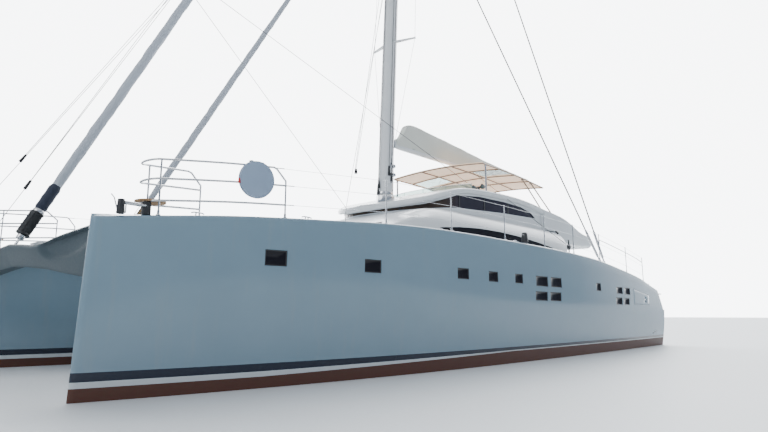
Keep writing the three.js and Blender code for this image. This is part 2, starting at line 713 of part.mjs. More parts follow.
function stairs() {
  const front = STAIR.top - GAP;
  const high = AFT_WELL_FLOOR - 10;
  const backX = (z) => STAIR.foot + (z - BRIDGE_TOP) * 0.889;
  const outline = [[STAIR.foot, BRIDGE_TOP + GAP], [STAIR.foot + 260, BRIDGE_TOP + GAP], [front, high - 480],
    [front, high], [backX(high), high]];
  const sides = [STAIR.y0 + 20, STAIR.y1 - 20 - STAIR.board];
  const parts = sides.map((y) => prismXZ(outline, y, y + STAIR.board));
  const rise = (AFT_WELL_FLOOR - BRIDGE_TOP) / STAIR.treads;
  for (let i = 1; i < STAIR.treads; i += 1) {
    const z = BRIDGE_TOP + i * rise;
    parts.push(box(backX(z) + 30, backX(z) + 310, STAIR.y0 + 30, STAIR.y1 - 30, z - 40, z));
  }
  return union(parts);
}

// Aft sliding doors of the saloon: two leaves on one track outside the wall
const LEAF = { x: -9380, thick: 50, frame: 80, kick: 150, overlap: 40, near: 5, far: AFT_DOORWAY.half + 60 };

function doorLeaf(side) {
  const low = BRIDGE_TOP + GAP;
  const high = AFT_DOORWAY.top + LEAF.overlap;
  const leaf = box(LEAF.x, LEAF.x + LEAF.thick, side * LEAF.near, side * LEAF.far, low, high);
  const [near, far] = [side * (LEAF.near + LEAF.frame), side * (LEAF.far - LEAF.frame)];
  return leaf.subtract(box(LEAF.x - 10, LEAF.x + 60, near, far, low + LEAF.kick, high - LEAF.frame));
}

function doorLeafGlass(side) {
  const inset = LEAF.frame + GAP;
  const [near, far] = [side * (LEAF.near + inset), side * (LEAF.far - inset)];
  const low = BRIDGE_TOP + LEAF.kick + 2 * GAP;
  const x0 = LEAF.x + (LEAF.thick - GLASS) / 2;
  return box(x0, x0 + GLASS, near, far, low, AFT_DOORWAY.top + LEAF.overlap - inset);
}

// Rig

function mastX(z) {
  return MAST_X_AT_WATER - MAST_RAKE * z;
}

function mastRing(z, along, across, sides = 12) {
  const points = [];
  for (let k = 0; k < sides; k += 1) {
    const angle = (k / sides) * 2 * Math.PI;
    points.push(vector(mastX(z) + along * Math.cos(angle), across * Math.sin(angle), z));
  }
  return points;
}

// height, half span and sweep aft of each pair of spreaders
const SPREADERS = [[14200, 1250, 300], [21000, 1200, 290], [27800, 1050, 250]];
const DIAMOND = { low: 8200, high: 33600, radius: 9 };

function mastTube(grow) {
  return loft([
    mastRing(MAST_FOOT_Z + 120 + GAP - grow, MAST_ALONG + grow, MAST_ACROSS + grow),
    mastRing(26000, MAST_ALONG + grow, MAST_ACROSS + grow),
    mastRing(MAST_TOP_Z + grow, MAST_ALONG - 100 + grow, MAST_ACROSS - 60 + grow),
  ]);
}

const MAST_GROWN = mastTube(GAP);

function spreaderTip([z, half, sweep], side) {
  return vector(mastX(z) - sweep, side * half, z);
}

function spreader(row, side) {
  const [z, half, sweep] = row;
  return loft([0, 1].map((t) => {
    const y = side * (60 + t * (half - 60));
    const middle = mastX(z) - sweep * t;
    const chord = 150 - 60 * t;
    const thick = 40 - 18 * t;
    const diamond = [[chord, 0], [0, thick], [-chord, 0], [0, -thick]];
    return diamond.map(([x, lift]) => vector(middle + x, y, z + lift));
  }));
}

// The mast carries its spreaders and the wires strained over their tips
function mast() {
  const parts = [mastTube(0)];
  for (const side of [-1, 1]) {
    const ends = [
      vector(mastX(DIAMOND.low), side * 150, DIAMOND.low),
      ...SPREADERS.map((row) => spreaderTip(row, side)),
      vector(mastX(DIAMOND.high), side * 100, DIAMOND.high),
    ];
    for (let i = 0; i + 1 < ends.length; i += 1) {
      parts.push(bar(ends[i], ends[i + 1], DIAMOND.radius, 4));
    }
    SPREADERS.forEach((row) => parts.push(spreader(row, side)));
  }
  return union(parts);
}

function mastStep() {
  const z = curveAt(ROOF_TOP, mastX(MAST_FOOT_Z));
  return loft([
    mastRing(z - 120, 480, 340), mastRing(MAST_FOOT_Z + 60, 480, 340), mastRing(MAST_FOOT_Z + 120, 430, 300),
  ]).subtract(upperDeckBody.translate([0, 0, GAP])).subtract(upperDeckBody.translate([0, 0, -ROOF_THICK / 2]));
}

// foot along the hull and height on the mast of each shroud
const SHROUDS = [[CHAINPLATE.x, 36400], [CHAINPLATE.x + 500, 26000]];
const SHROUD = { radius: 16, screw: 45, screwSpan: [120, 1500], plate: 40 };

function portShrouds() {
  const parts = [];
  for (const [x, top] of SHROUDS) {
    const foot = vector(x, CHAINPLATE.y, deckEdge(x) + 40);
    const head = vector(mastX(top), 60, top);
    const along = head.clone().sub(foot).normalize();
    parts.push(bar(foot, head, SHROUD.radius, 6));
    const [screwFoot, screwTop] = SHROUD.screwSpan.map((span) => foot.clone().addScaledVector(along, span));
    parts.push(bar(screwFoot, screwTop, SHROUD.screw, 8));
  }
  const low = deckEdge(CHAINPLATE.x) - 40;
  const [near, far] = [-1, 1].map((edge) => CHAINPLATE.y + (edge * SHROUD.plate) / 2);
  parts.push(box(CHAINPLATE.x - 90, CHAINPLATE.x + 590, near, far, low, low + 200));
  return union(parts).subtract(hullCutter.translate([0, GAP, 0])).subtract(MAST_GROWN);
}

// Furled sails: a tapering roll on its stay, a drum and a toggle under it
const FORESTAY = { foot: vector(15050, 0, 3390), head: vector(mastX(34400) + 100, 0, 34400) };
const INNER_STAY = { foot: vector(12360, 0, 3560), head: vector(mastX(25000) + 150, 0, 25000) };

function onStay(stay, distance) {
  const along = stay.head.clone().sub(stay.foot).normalize();
  return stay.foot.clone().addScaledVector(along, distance);
}

// A body turned on a stay, from rows of distance along it and radius
function turnedOn(stay, rows, sides) {
  const along = stay.head.clone().sub(stay.foot).normalize();
  const side = vector(0, 1, 0);
  const up = side.clone().cross(along);
  return loft(rows.map(([distance, radius]) => ringAbout(onStay(stay, distance), side, up, radius, sides)));
}

function furledSail(stay, start, end, radius) {
  const head = stay.head.distanceTo(stay.foot);
  return turnedOn(stay, [
    [start, radius * 0.8], [start + 3000, radius], [end * 0.5, radius * 0.85], [end, radius * 0.35],
    [end + 150, 14], [head, 14],
  ], 10).subtract(MAST_GROWN);
}

function furlingDrum(stay, start, radius, length, seat) {
  const end = start + length;
  return turnedOn(stay, [
    [0, 55], [start, 55], [start, radius], [start + 60, radius], [start + 61, radius * 0.62],
    [end - 61, radius * 0.62], [end - 60, radius], [end, radius],
  ], 12).subtract(seat.translate([0, 0, GAP]));
}

// Boom with the mainsail stowed in a deep cover, turning on a pin at the mast's aft face
const BOOM = { half: 150, deep: 330, pinBehind: 55, pinRadius: 63, frontGap: 64 };
const PIN = vector(mastX(BOOM_Z) - MAST_ALONG - BOOM.pinBehind, 0, BOOM_Z);

function boomSpar() {
  const ring = (x, half, top, low) => [
    [half, low + 60], [half, top - 40], [half - 60, top], [-half + 60, top],
    [-half, top - 40], [-half, low + 60], [-half + 60, low], [half - 60, low],
  ].map(([y, z]) => vector(x, y, z));
  const top = BOOM_Z + BOOM.deep / 2;
  const low = BOOM_Z - BOOM.deep / 2;
  const front = ring(PIN.x - BOOM.frontGap, 90, top, low);
  front.forEach((p) => { p.x -= MAST_RAKE * (p.z - BOOM_Z); });
  return loft([
    front, ring(PIN.x - 500, BOOM.half, top, low),
    ring(-9000, BOOM.half, top, low), ring(BOOM_END_X, BOOM.half, top, low + 90),
  ]);
}

function gooseneck() {
  const lean = vector(-MAST_RAKE, 0, 1).normalize();
  return union([
    box(PIN.x, PIN.x + 200, -60, 60, BOOM_Z - 130, BOOM_Z + 130),
    bar(PIN.clone().addScaledVector(lean, -180), PIN.clone().addScaledVector(lean, 180), BOOM.pinRadius, 24),
  ]).subtract(MAST_GROWN);
}

function sailCover() {
  const base = BOOM_Z + BOOM.deep / 2 + GAP;
  const x0 = PIN.x - 250;
  // x, height, half width low, half width high
  const stations = [
    [x0, 100, 110, 110], [x0 - 280, 400, 170, 170], [x0 - 690, 960, 220, 210], [x0 - 2300, 900, 290, 230],
    [-5200, 710, 280, 210], [-7700, 480, 260, 190], [-10500, 340, 230, 160], [BOOM_END_X + 500, 260, 170, 110],
  ];
  return loft(stations.map(([x, height, low, high]) => mirroredRing(x, [
    [low * 0.7, base], [low, base + height * 0.3], [high, base + height * 0.9], [high * 0.6, base + height],
  ])));
}

// Canopy over the helm deck
const CANOPY = {
  front: -3340, aft: -9450, half: 2710, z: 8600, fall: 250, camber: 150, thick: 30, tube: 32, clothLift: 12,
  tubeDrop: 12.5, columns: 6, rows: 4,
};
// [x, half width] of each stanchion's foot on the deck and of its head under the canopy, with its radius
const STRUTS = [
  [[-3630, 2700], [-3630, 2700], 45],
  [[-8610, 3000], [-7130, 2700], 35],
  [[-9440, 3150], [-7990, 2700], 35],
];

// Height at x, straight from one row of the cloth to the next
function canopyZ(x) {
  const row = (CANOPY.rows * (x - CANOPY.front)) / (CANOPY.aft - CANOPY.front);
  const before = Math.min(Math.floor(row), CANOPY.rows - 1);
  const [high, low] = [before, before + 1].map((i) => CANOPY.z - CANOPY.fall * (i / CANOPY.rows) ** 2);
  return high + (low - high) * (row - before);
}

function canopyCloth() {
  const rings = [];
  for (let i = 0; i <= CANOPY.rows; i += 1) {
    const x = CANOPY.front + (CANOPY.aft - CANOPY.front) * (i / CANOPY.rows);
    const z = canopyZ(x) + CANOPY.clothLift;
    const ring = [];
    for (let k = 0; k <= CANOPY.columns; k += 1) {
      const y = CANOPY.half * (1 - (2 * k) / CANOPY.columns);
      ring.push(vector(x, y, z + CANOPY.camber * (1 - (y / CANOPY.half) ** 2)));
    }
    const under = ring.map((p) => vector(p.x, p.y, p.z)).reverse();
    ring.forEach((p) => { p.z += CANOPY.thick; });
    rings.push([...ring, ...under]);
  }
  return loft(rings);
}

function canopyFrame() {
  const { front, aft, half, camber, tubeDrop, tube: radius } = CANOPY;
  const onFrame = (x, y) => vector(x, y, canopyZ(x) + camber * (1 - (y / half) ** 2) - tubeDrop);
  const hoop = (x) => {
    const points = [];
    for (let k = 0; k <= CANOPY.columns; k += 1) {
      const y = half * (1 - (2 * k) / CANOPY.columns);
      points.push(onFrame(x, y));
    }
    return tube(points, radius);
  };
  const rowX = (i) => front - 60 + (aft - front + 120) * (i / CANOPY.rows);
  const parts = [];
  for (let i = 0; i <= CANOPY.rows; i += 1) parts.push(hoop(rowX(i)));
  for (const y of [half, -half, half / 3, -half / 3]) {
    const points = [];
    for (let i = 0; i <= CANOPY.rows; i += 1) points.push(onFrame(rowX(i), y));
    parts.push(tube(points, radius));
  }
  for (const [foot, head, thick] of STRUTS) {
    for (const side of [-1, 1]) {
      const from = vector(foot[0], side * foot[1], curveAt(ROOF_TOP, foot[0]) - 20);
      parts.push(bar(from, vector(head[0], side * head[1], canopyZ(head[0]) - 30), thick, 6));
    }
  }
  return union(parts).subtract(upperDeckBody.translate([0, 0, GAP]));
}

// Helm stations: a console whose aft face lies square to the leaning wheel's axis
const HELM = {
  y: 1650, x: -3600, z: 6900, radius: 420, tube: 16, lean: 20, hub: 120, front: -2850, spokes: 5,
};

function helmConsole(side) {
  const lean = THREE.MathUtils.degToRad(HELM.lean);
  const faceX = HELM.x + HELM.hub * Math.cos(lean);
  const faceZ = HELM.z - HELM.hub * Math.sin(lean);
  const onFace = (z) => [faceX + (z - faceZ) * Math.tan(lean), z];
  const outline = [
    [HELM.front, WELL_FLOOR + GAP], onFace(WELL_FLOOR + GAP), onFace(7350), [HELM.front - 150, 7420],
    [HELM.front, 7300],
  ];
  return prismXZ(outline, side * (HELM.y - 420), side * (HELM.y + 420));
}

function helmWheel(side) {
  const torus = new THREE.TorusGeometry(HELM.radius, HELM.tube, 4, 20).rotateY(Math.PI / 2);
  const parts = [solid(torus)];
  for (let i = 0; i < HELM.spokes; i += 1) {
    const angle = (i / HELM.spokes) * 2 * Math.PI;
    const rim = vector(0, HELM.radius * Math.sin(angle), HELM.radius * Math.cos(angle));
    parts.push(bar(vector(0, 0, 0), rim, 10, 4));
  }
  parts.push(bar(vector(-40, 0, 0), vector(HELM.hub - GAP, 0, 0), 45, 12));
  return union(parts).rotate([0, HELM.lean, 0]).translate([HELM.x, side * HELM.y, HELM.z]);
}

function upperSeats() {
  const base = box(-7300, -9200, -2300, 2300, WELL_FLOOR + GAP, WELL_FLOOR + 400);
  const hole = box(-7000, -8700, -1700, 1700, WELL_FLOOR, WELL_FLOOR + 500);
  const back = box(-8950, -9200, -2300, 2300, WELL_FLOOR + 350, WELL_FLOOR + 800);
  const opening = box(-6000, -8700, -1700, 1700, WELL_FLOOR, WELL_FLOOR + 500);
  return base.subtract(hole).add(back).subtract(opening);
}

// Cockpit furniture under the overhang
function cockpitSofa() {
  const base = box(-11600, -13000, 400, 3200, BRIDGE_TOP + GAP, BRIDGE_TOP + 430);
  const hole = box(-11000, -12350, 0, 2500, BRIDGE_TOP, BRIDGE_TOP + 600);
  const back = box(-12800, -13000, 400, 3200, BRIDGE_TOP + 400, BRIDGE_TOP + 850)
    .add(box(-11600, -13000, 3000, 3200, BRIDGE_TOP + 400, BRIDGE_TOP + 850));
  return base.subtract(hole).add(back);
}

function cockpitTable() {
  const under = (lift) => vector(-11300, 1500, BRIDGE_TOP + lift);
  return union([
    box(-10500, -12150, 700, 2300, BRIDGE_TOP + 720, BRIDGE_TOP + 770),
    bar(under(2), under(730), 90, 10),
    bar(under(GAP), under(30), 300, 12),
  ]);
}

// Rails

const RAIL = { top: 1230, radius: 22, post: 16, lower: [320, 800] };

function railY(x) {
  return HULL_Y + halfBeamAtDeck(x) - 110;
}

// Joints of the pulpit's rails along the outer deck edge, round the nose as x and share of the width,
// and back along the inner edge; at both ends the rails stop at a post as high as the shoulder
const PULPIT = {
  outer: [11150, 11440, 12600, 14110], nose: [[14230, 0.65], [14290, 0], [14230, -0.65]],
  inner: [13980, 12790, 12430], shoulder: 920, posts: [0, 3, 7, 9],
};
// Round seat in the nose, resting on the lowest rail
const SEAT = { x: 14110, radius: 330, low: 300, thick: 50 };

function pulpitPath(lift) {
  const at = (x, y, height) => vector(x, y, deckEdge(x) + height);
  const end = Math.min(lift, PULPIT.shoulder);
  const noseHalf = railY(PULPIT.outer.at(-1)) - HULL_Y;
  return [
    ...PULPIT.outer.map((x, i) => at(x, railY(x), i === 0 ? end : lift)),
    ...PULPIT.nose.map(([x, share]) => at(x, HULL_Y + share * noseHalf, lift)),
    ...PULPIT.inner.map((x, i) => at(x, 2 * HULL_Y - railY(x), i === 2 ? end : lift)),
  ];
}

function portPulpit() {
  const parts = [...RAIL.lower, RAIL.top].map((lift) => tube(pulpitPath(lift), RAIL.radius));
  const feet = pulpitPath(-20);
  const tops = pulpitPath(RAIL.top);
  PULPIT.posts.forEach((joint) => parts.push(bar(feet[joint], tops[joint], RAIL.post, 4)));
  const seat = new THREE.CylinderGeometry(SEAT.radius, SEAT.radius, SEAT.thick, 16).rotateX(Math.PI / 2);
  parts.push(solid(seat.translate(SEAT.x, HULL_Y, deckEdge(SEAT.x) + SEAT.low + SEAT.thick / 2)));
  return union(parts).subtract(hullCutter.translate([0, GAP, 0]));
}

const POST_X = [7820, 4850, 1630, -1400, -4050, -6850, -10200, -12600];

function portLifeline() {
  const parts = [];
  const at = (x, lift) => vector(x, railY(x), deckEdge(x) + lift);
  for (const x of POST_X) {
    parts.push(bar(at(x, -20), at(x, RAIL.top), RAIL.post + 3, 4));
    parts.push(bar(at(x, -20), at(x, 50), 45, 4));
  }
  const [aft, corner] = PULPIT.outer;
  for (const [lift, start] of [...RAIL.lower.map((low) => [low, aft]), [RAIL.top - 5, corner]]) {
    parts.push(tube([start - 45, ...POST_X].map((x) => at(x, lift)), 8, 3));
  }
  return union(parts).subtract(hullCutter.translate([0, GAP, 0]));
}

// Round case hung on the outer rails, lying flat against them
const CASE = { x: 11970, lift: 870, radius: 440, thick: 130, rail: PULPIT.outer.slice(1, 3) };

function lifebuoyCase() {
  const [x0, x1] = CASE.rail;
  const slope = (railY(x1) - railY(x0)) / (x1 - x0);
  const standoff = RAIL.radius * Math.SQRT1_2 + CASE.thick / 2 + GAP;
  const y = railY(x0) + slope * (CASE.x - x0) + standoff * Math.hypot(1, slope);
  const shape = new THREE.CylinderGeometry(CASE.radius, CASE.radius, CASE.thick, 28);
  return solid(shape.rotateZ(Math.atan(slope)).translate(CASE.x, y, deckEdge(CASE.x) + CASE.lift));
}

function windlass() {
  return union([
    box(9700, 10400, -250, 250, CATWALK.top - 40, CATWALK.top + 120),
    bar(vector(10050, -200, CATWALK.top + 200), vector(10050, 200, CATWALK.top + 200), 150, 12),
    box(9900, 10200, -120, 120, CATWALK.top + 100, CATWALK.top + 260),
  ]).subtract(catwalk().translate([0, 0, GAP]));
}

// Two searchlights side by side on one pod at the roof's port corner
const LIGHTS = { x: -2750, y: 2850, reach: 230, lamp: 85 };

function searchlights() {
  const { x, y, reach, lamp } = LIGHTS;
  const z = curveAt(ROOF_TOP, x);
  const lamps = [y - reach, y + reach].map((side) => (
    bar(vector(x - 110, side, z + 190), vector(x + 110, side, z + 190), lamp, 10)
  ));
  return union([
    bar(vector(x, y, z), vector(x, y, z + 200), 55, 8),
    bar(vector(x, y - reach, z + 160), vector(x, y + reach, z + 160), 35, 8),
    ...lamps,
  ]).subtract(upperDeckBody.translate([0, 0, GAP]));
}

const SCREEN = { half: 2500, bow: 420, thick: 15, low: 7050, high: 7540 };

function windscreen() {
  const arc = (offset) => {
    const points = [];
    for (let k = 0; k <= 8; k += 1) {
      const across = 1 - k / 4;
      points.push([WELL_FRONT + 320 - offset - SCREEN.bow * across ** 2, SCREEN.half * across]);
    }
    return points;
  };
  const outline = [...arc(0), ...arc(SCREEN.thick).reverse()];
  return prismXY(outline, SCREEN.low, SCREEN.high).subtract(upperDeckBody.translate([0, 0, GAP]));
}

// Assembly

const upperDeckBody = upperDeck();

addPiece('port_hull', hullPort, 'gelcoat');
addPiece('starboard_hull', hullStarboard, 'gelcoat');

const mirroredPieces = [
  ['keel', portKeel(), 'antifouling'],
  ['rudder', portRudder(), 'antifouling'],
  ['propeller', portPropeller(), 'bronze'],
  ['shaft_bracket', portShaftBracket(), 'bronze'],
  ['boarding_door', portDoor(), 'gelcoat'],
  ['trampoline', portTrampoline(), 'net'],
  ['side_glass', portSideGlass(), 'darkGlass'],
  ['pulpit', portPulpit(), 'metal'],
  ['lifeline', portLifeline(), 'metal'],
  ['shrouds', portShrouds(), 'rod'],
];
for (const [name, body, finish] of mirroredPieces) {
  addPiece(`port_${name}`, body, finish);
  addPiece(`starboard_${name}`, mirrored(body), finish);
}

addPiece('bridge_deck', bridgeDeck(), 'gelcoat');
addPiece('foredeck', foredeck(), 'white');
addPiece('bow_beam', bowBeam(), 'gelcoat');
addPiece('catwalk', catwalk(), 'white');
addPiece('saloon_shell', saloonShell(), 'white');
addPiece('saloon_front_glass', saloonFrontGlass(), 'darkGlass');
addPiece('deckhouse_shell', deckhouseShell(), 'white');
addPiece('deckhouse_glass', deckhouseGlass(), 'darkGlass');
addPiece('upper_deck', upperDeckBody, 'white');
addPiece('stairs', stairs(), 'white');
for (const [label, side] of [['port', 1], ['starboard', -1]]) {
  addPiece(`${label}_foredeck_lid`, foredeckLid(side), 'white');
  addPiece(`${label}_door_leaf`, doorLeaf(side), 'metal');
  addPiece(`${label}_door_glass`, doorLeafGlass(side), 'darkGlass');
  addPiece(`${label}_helm_console`, helmConsole(side), 'white');
  addPiece(`${label}_helm_wheel`, helmWheel(side), 'metal');
}
addPiece('mast_step', mastStep(), 'metal');
addPiece('mast', mast(), 'mastPaint');
addPiece('headsail_drum', furlingDrum(FORESTAY, 350, 160, 700, bowBeam()), 'black');
addPiece('furled_headsail', furledSail(FORESTAY, 1050 + GAP, 30000, 140), 'furled');
addPiece('staysail_drum', furlingDrum(INNER_STAY, 1100, 150, 420, catwalk()), 'black');
addPiece('furled_staysail', furledSail(INNER_STAY, 1520 + GAP, 21500, 110), 'furled');
addPiece('boom', boomSpar(), 'mastPaint');
addPiece('gooseneck', gooseneck(), 'metal');
addPiece('sail_cover', sailCover(), 'coverCloth');
addPiece('canopy_frame', canopyFrame(), 'metal');
addPiece('canopy', canopyCloth(), 'canopyCloth');
addPiece('upper_seats', upperSeats(), 'cushion');
addPiece('cockpit_sofa', cockpitSofa(), 'cushion');
addPiece('cockpit_table', cockpitTable(), 'teak');
addPiece('lifebuoy_case', lifebuoyCase(), 'white');
addPiece('windlass', windlass(), 'metal');
addPiece('searchlights', searchlights(), 'black');
addPiece('windscreen', windscreen(), 'clearGlass');

export default boat;
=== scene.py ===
import json
from math import copysign, cos, pi, radians, sin, sqrt, tan
import bmesh
import bpy
from mathutils import Matrix, Vector, noise


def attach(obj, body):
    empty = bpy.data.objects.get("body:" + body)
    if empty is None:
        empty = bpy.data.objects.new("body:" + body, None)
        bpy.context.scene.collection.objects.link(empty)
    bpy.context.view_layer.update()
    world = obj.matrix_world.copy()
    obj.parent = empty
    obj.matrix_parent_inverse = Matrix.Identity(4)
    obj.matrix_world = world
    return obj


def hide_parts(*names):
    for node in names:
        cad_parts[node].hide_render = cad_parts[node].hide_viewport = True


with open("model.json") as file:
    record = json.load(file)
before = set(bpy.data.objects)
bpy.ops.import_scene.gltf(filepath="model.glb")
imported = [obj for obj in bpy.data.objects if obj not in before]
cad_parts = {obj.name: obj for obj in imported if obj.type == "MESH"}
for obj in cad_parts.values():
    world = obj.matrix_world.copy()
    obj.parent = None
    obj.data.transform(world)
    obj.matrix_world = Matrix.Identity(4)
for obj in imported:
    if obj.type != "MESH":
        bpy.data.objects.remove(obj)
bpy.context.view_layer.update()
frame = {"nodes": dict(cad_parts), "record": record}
print("frame loaded")

# Camera, at the photograph's angle from just over the water off the port bow
view = {"place": (20.65, 17.57, 1.67), "yaw": 221.14, "pitch": 10.68, "lens": 28.72, "shiftY": -0.0232}


def addCamera():
    yaw, pitch = radians(view["yaw"]), radians(view["pitch"])
    ahead = Vector((cos(yaw) * cos(pitch), sin(yaw) * cos(pitch), sin(pitch)))
    bpy.ops.object.camera_add(location=view["place"], rotation=ahead.to_track_quat("-Z", "Y").to_euler())
    camera = bpy.context.active_object
    camera.data.lens = view["lens"]
    camera.data.shift_y = view["shiftY"]
    camera.data.clip_end = 500
    bpy.context.scene.camera = camera


addCamera()
print("camera placed")

# Modelling helpers


def selectNone():
    bpy.ops.object.select_all(action="DESELECT")


def useOnly(piece):
    selectNone()
    bpy.context.view_layer.objects.active = piece
    piece.select_set(True)


def named(piece, name):
    piece.name = name
    piece.data.name = name
    return piece


def settle(name):
    piece = bpy.context.active_object
    bpy.ops.object.transform_apply(location=True, rotation=True, scale=True)
    return named(piece, name)


def block(name, low, high):
    low, high = Vector(low), Vector(high)
    selectNone()
    bpy.ops.mesh.primitive_cube_add(size=1, location=(low + high) / 2, scale=high - low)
    return settle(name)


def turnedRod(name, start, end, radius, endRadius=None, sides=16):
    start, end = Vector(start), Vector(end)
    selectNone()
    bpy.ops.mesh.primitive_cone_add(
        vertices=sides, radius1=radius, radius2=radius if endRadius is None else endRadius,
        depth=(end - start).length, location=(start + end) / 2,
        rotation=(end - start).to_track_quat("Z", "Y").to_euler())
    return settle(name)


def editFaces(piece, test):
    useOnly(piece)
    bpy.ops.object.mode_set(mode="EDIT")
    bpy.ops.mesh.select_mode(type="FACE")
    bpy.ops.mesh.select_all(action="DESELECT")
    mesh = bmesh.from_edit_mesh(piece.data)
    for face in mesh.faces:
        face.select_set(bool(test(face)))
    bmesh.update_edit_mesh(piece.data)


def leaveEdit():
    bpy.ops.object.mode_set(mode="OBJECT")


def editAll(piece, operation, **settings):
    editFaces(piece, lambda face: True)
    operation(**settings)
    leaveEdit()
    return piece


# Sinks or lifts the inside of the chosen faces behind a rim of the given width
def insetFaces(piece, test, rim, *shift):
    editFaces(piece, test)
    bpy.ops.mesh.inset(thickness=rim)
    bpy.ops.transform.translate(value=shift)
    leaveEdit()
    return piece


def cleaned(piece, distance=0.0001, outward=True):
    editFaces(piece, lambda face: True)
    bpy.ops.mesh.remove_doubles(threshold=distance)
    if outward:
        bpy.ops.mesh.normals_make_consistent(inside=False)
    leaveEdit()
    return piece


def modify(piece, kind, **settings):
    useOnly(piece)
    bpy.ops.object.modifier_add(type=kind)
    modifier = piece.modifiers[-1]
    for key, value in settings.items():
        setattr(modifier, key, value)
    bpy.ops.object.modifier_apply(modifier=modifier.name)
    return piece


def rounded(piece, width, segments=2, angle=40):
    return modify(piece, "BEVEL", width=width, segments=segments, limit_method="ANGLE",
                  angle_limit=radians(angle), harden_normals=False)


def joined(pieces, name):
    useOnly(pieces[0])
    for piece in pieces[1:]:
        piece.select_set(True)
    if len(pieces) > 1:
        bpy.ops.object.join()
    return named(pieces[0], name)


def copied(piece, name):
    useOnly(piece)
    bpy.ops.object.duplicate()
    return named(bpy.context.active_object, name)


def mirroredTwin(piece, name):
    twin = copied(piece, name)
    for vertex in twin.data.vertices:
        vertex.co.y = -vertex.co.y
    return editAll(twin, bpy.ops.mesh.flip_normals)


# An outline of two-number points carried along the third axis
def prism(name, outline, axis, start, end):
    selectNone()
    bpy.ops.mesh.primitive_circle_add(vertices=len(outline), fill_type="NGON")
    piece = bpy.context.active_object
    for vertex, (a, b) in zip(piece.data.vertices, outline):
        vertex.co = {"X": (start, a, b), "Y": (a, start, b), "Z": (a, b, start)}[axis]
    editFaces(piece, lambda face: True)
    reach = {"X": (end - start, 0, 0), "Y": (0, end - start, 0), "Z": (0, 0, end - start)}[axis]
    bpy.ops.mesh.extrude_region_move(TRANSFORM_OT_translate={"value": reach})
    bpy.ops.mesh.select_all(action="SELECT")
    bpy.ops.mesh.normals_make_consistent(inside=False)
    leaveEdit()
    return settle(name)


# Round tubes through lists of points, all in one mesh, with soft bends where curved is set
def tubes(name, paths, radius, sides=10, curved=False):
    selectNone()
    bpy.ops.curve.primitive_bezier_curve_add()
    piece = bpy.context.active_object
    curve = piece.data
    curve.splines.clear()
    for points in paths:
        spline = curve.splines.new("BEZIER")
        spline.bezier_points.add(len(points) - 1)
        for knot, point in zip(spline.bezier_points, points):
            knot.co = point
            knot.handle_left_type = knot.handle_right_type = "AUTO" if curved else "VECTOR"
    curve.dimensions = "3D"
    curve.resolution_u = 5 if curved else 1
    curve.bevel_depth = radius
    curve.bevel_resolution = (sides - 4) // 2
    curve.use_fill_caps = True
    bpy.ops.object.convert(target="MESH")
    piece = settle(name)
    return cleaned(piece)


# Closes each open end of a piece in edit mode with a face of its own
def capEnds(piece):
    bpy.ops.mesh.select_mode(type="EDGE")
    while True:
        bpy.ops.mesh.select_all(action="DESELECT")
        mesh = bmesh.from_edit_mesh(piece.data)
        mesh.edges.ensure_lookup_table()
        edge = next((edge for edge in mesh.edges if edge.is_boundary), None)
        if edge is None:
            return
        loop, waiting = set(), [edge]
        while waiting:
            here = waiting.pop()
            loop.add(here)
            waiting += [near for vertex in here.verts for near in vertex.link_edges
                        if near.is_boundary and near not in loop]
        for here in loop:
            here.select_set(True)
        bmesh.update_edit_mesh(piece.data)
        bpy.ops.mesh.edge_face_add()


# A sheet of rows of points, open or closed round, made from a grid
def skin(name, rows, closed=False, capped=False):
    down, across = len(rows), len(rows[0])
    selectNone()
    wide = across + (1 if closed else 0)
    bpy.ops.mesh.primitive_grid_add(x_subdivisions=wide - 1, y_subdivisions=down - 1)
    piece = bpy.context.active_object
    for i, vertex in enumerate(piece.data.vertices):
        vertex.co = rows[i // wide][(i % wide) % across]
    if closed:
        editFaces(piece, lambda face: True)
        bpy.ops.mesh.remove_doubles(threshold=0.00001)
        if capped:
            capEnds(piece)
        bpy.ops.mesh.select_all(action="SELECT")
        bpy.ops.mesh.normals_make_consistent(inside=False)
        leaveEdit()
    return settle(name)


def cutBy(piece, cutter, operation="DIFFERENCE"):
    modify(piece, "BOOLEAN", object=cutter, operation=operation, solver="EXACT")
    bpy.data.objects.remove(cutter)
    return piece


def paint(piece, *names):
    piece.data.materials.clear()
    for look in names:
        piece.data.materials.append(looks[look])


def finished(piece, look, body="platform", angle=35, stands=()):
    if look:
        paint(piece, look)
    useOnly(piece)
    if angle:
        bpy.ops.object.shade_smooth_by_angle(angle=radians(angle))
    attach(piece, body)
    if stands:
        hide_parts(*stands)
    return piece


# A merged copy of a CAD node with softened edges, standing for it
def softened(node, look, width=0.012, segments=2, body="platform"):
    piece = copied(frame["nodes"][node], node + "_skin")
    piece.parent = None
    for key in list(piece.keys()):
        if key.startswith("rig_"):
            del piece[key]
    cleaned(piece, 0.0002, outward=False)
    editAll(piece, bpy.ops.mesh.dissolve_limited, angle_limit=radians(0.6))
    return finished(rounded(piece, width, segments), look, body, stands=(node,))


# Shader helpers


def put(tree, kind, settings=None, values=None):
    node = tree.nodes.new(kind)
    for key, value in (settings or {}).items():
        setattr(node, key, value)
    for key, value in (values or {}).items():
        node.inputs[key].default_value = value
    return node


def feed(tree, value, end, into):
    tree.links.new(value, end.inputs[into])


def wire(tree, start, out, end, into):
    feed(tree, start.outputs[out], end, into)


def axes(tree, place, kind="Object"):
    split = put(tree, "ShaderNodeSeparateXYZ")
    wire(tree, place, kind, split, 0)
    return split


def mathNode(tree, operation, *values):
    node = put(tree, "ShaderNodeMath", {"operation": operation})
    for i, value in enumerate(values):
        if isinstance(value, (int, float)):
            node.inputs[i].default_value = value
        else:
            tree.links.new(value, node.inputs[i])
    return node.outputs[0]


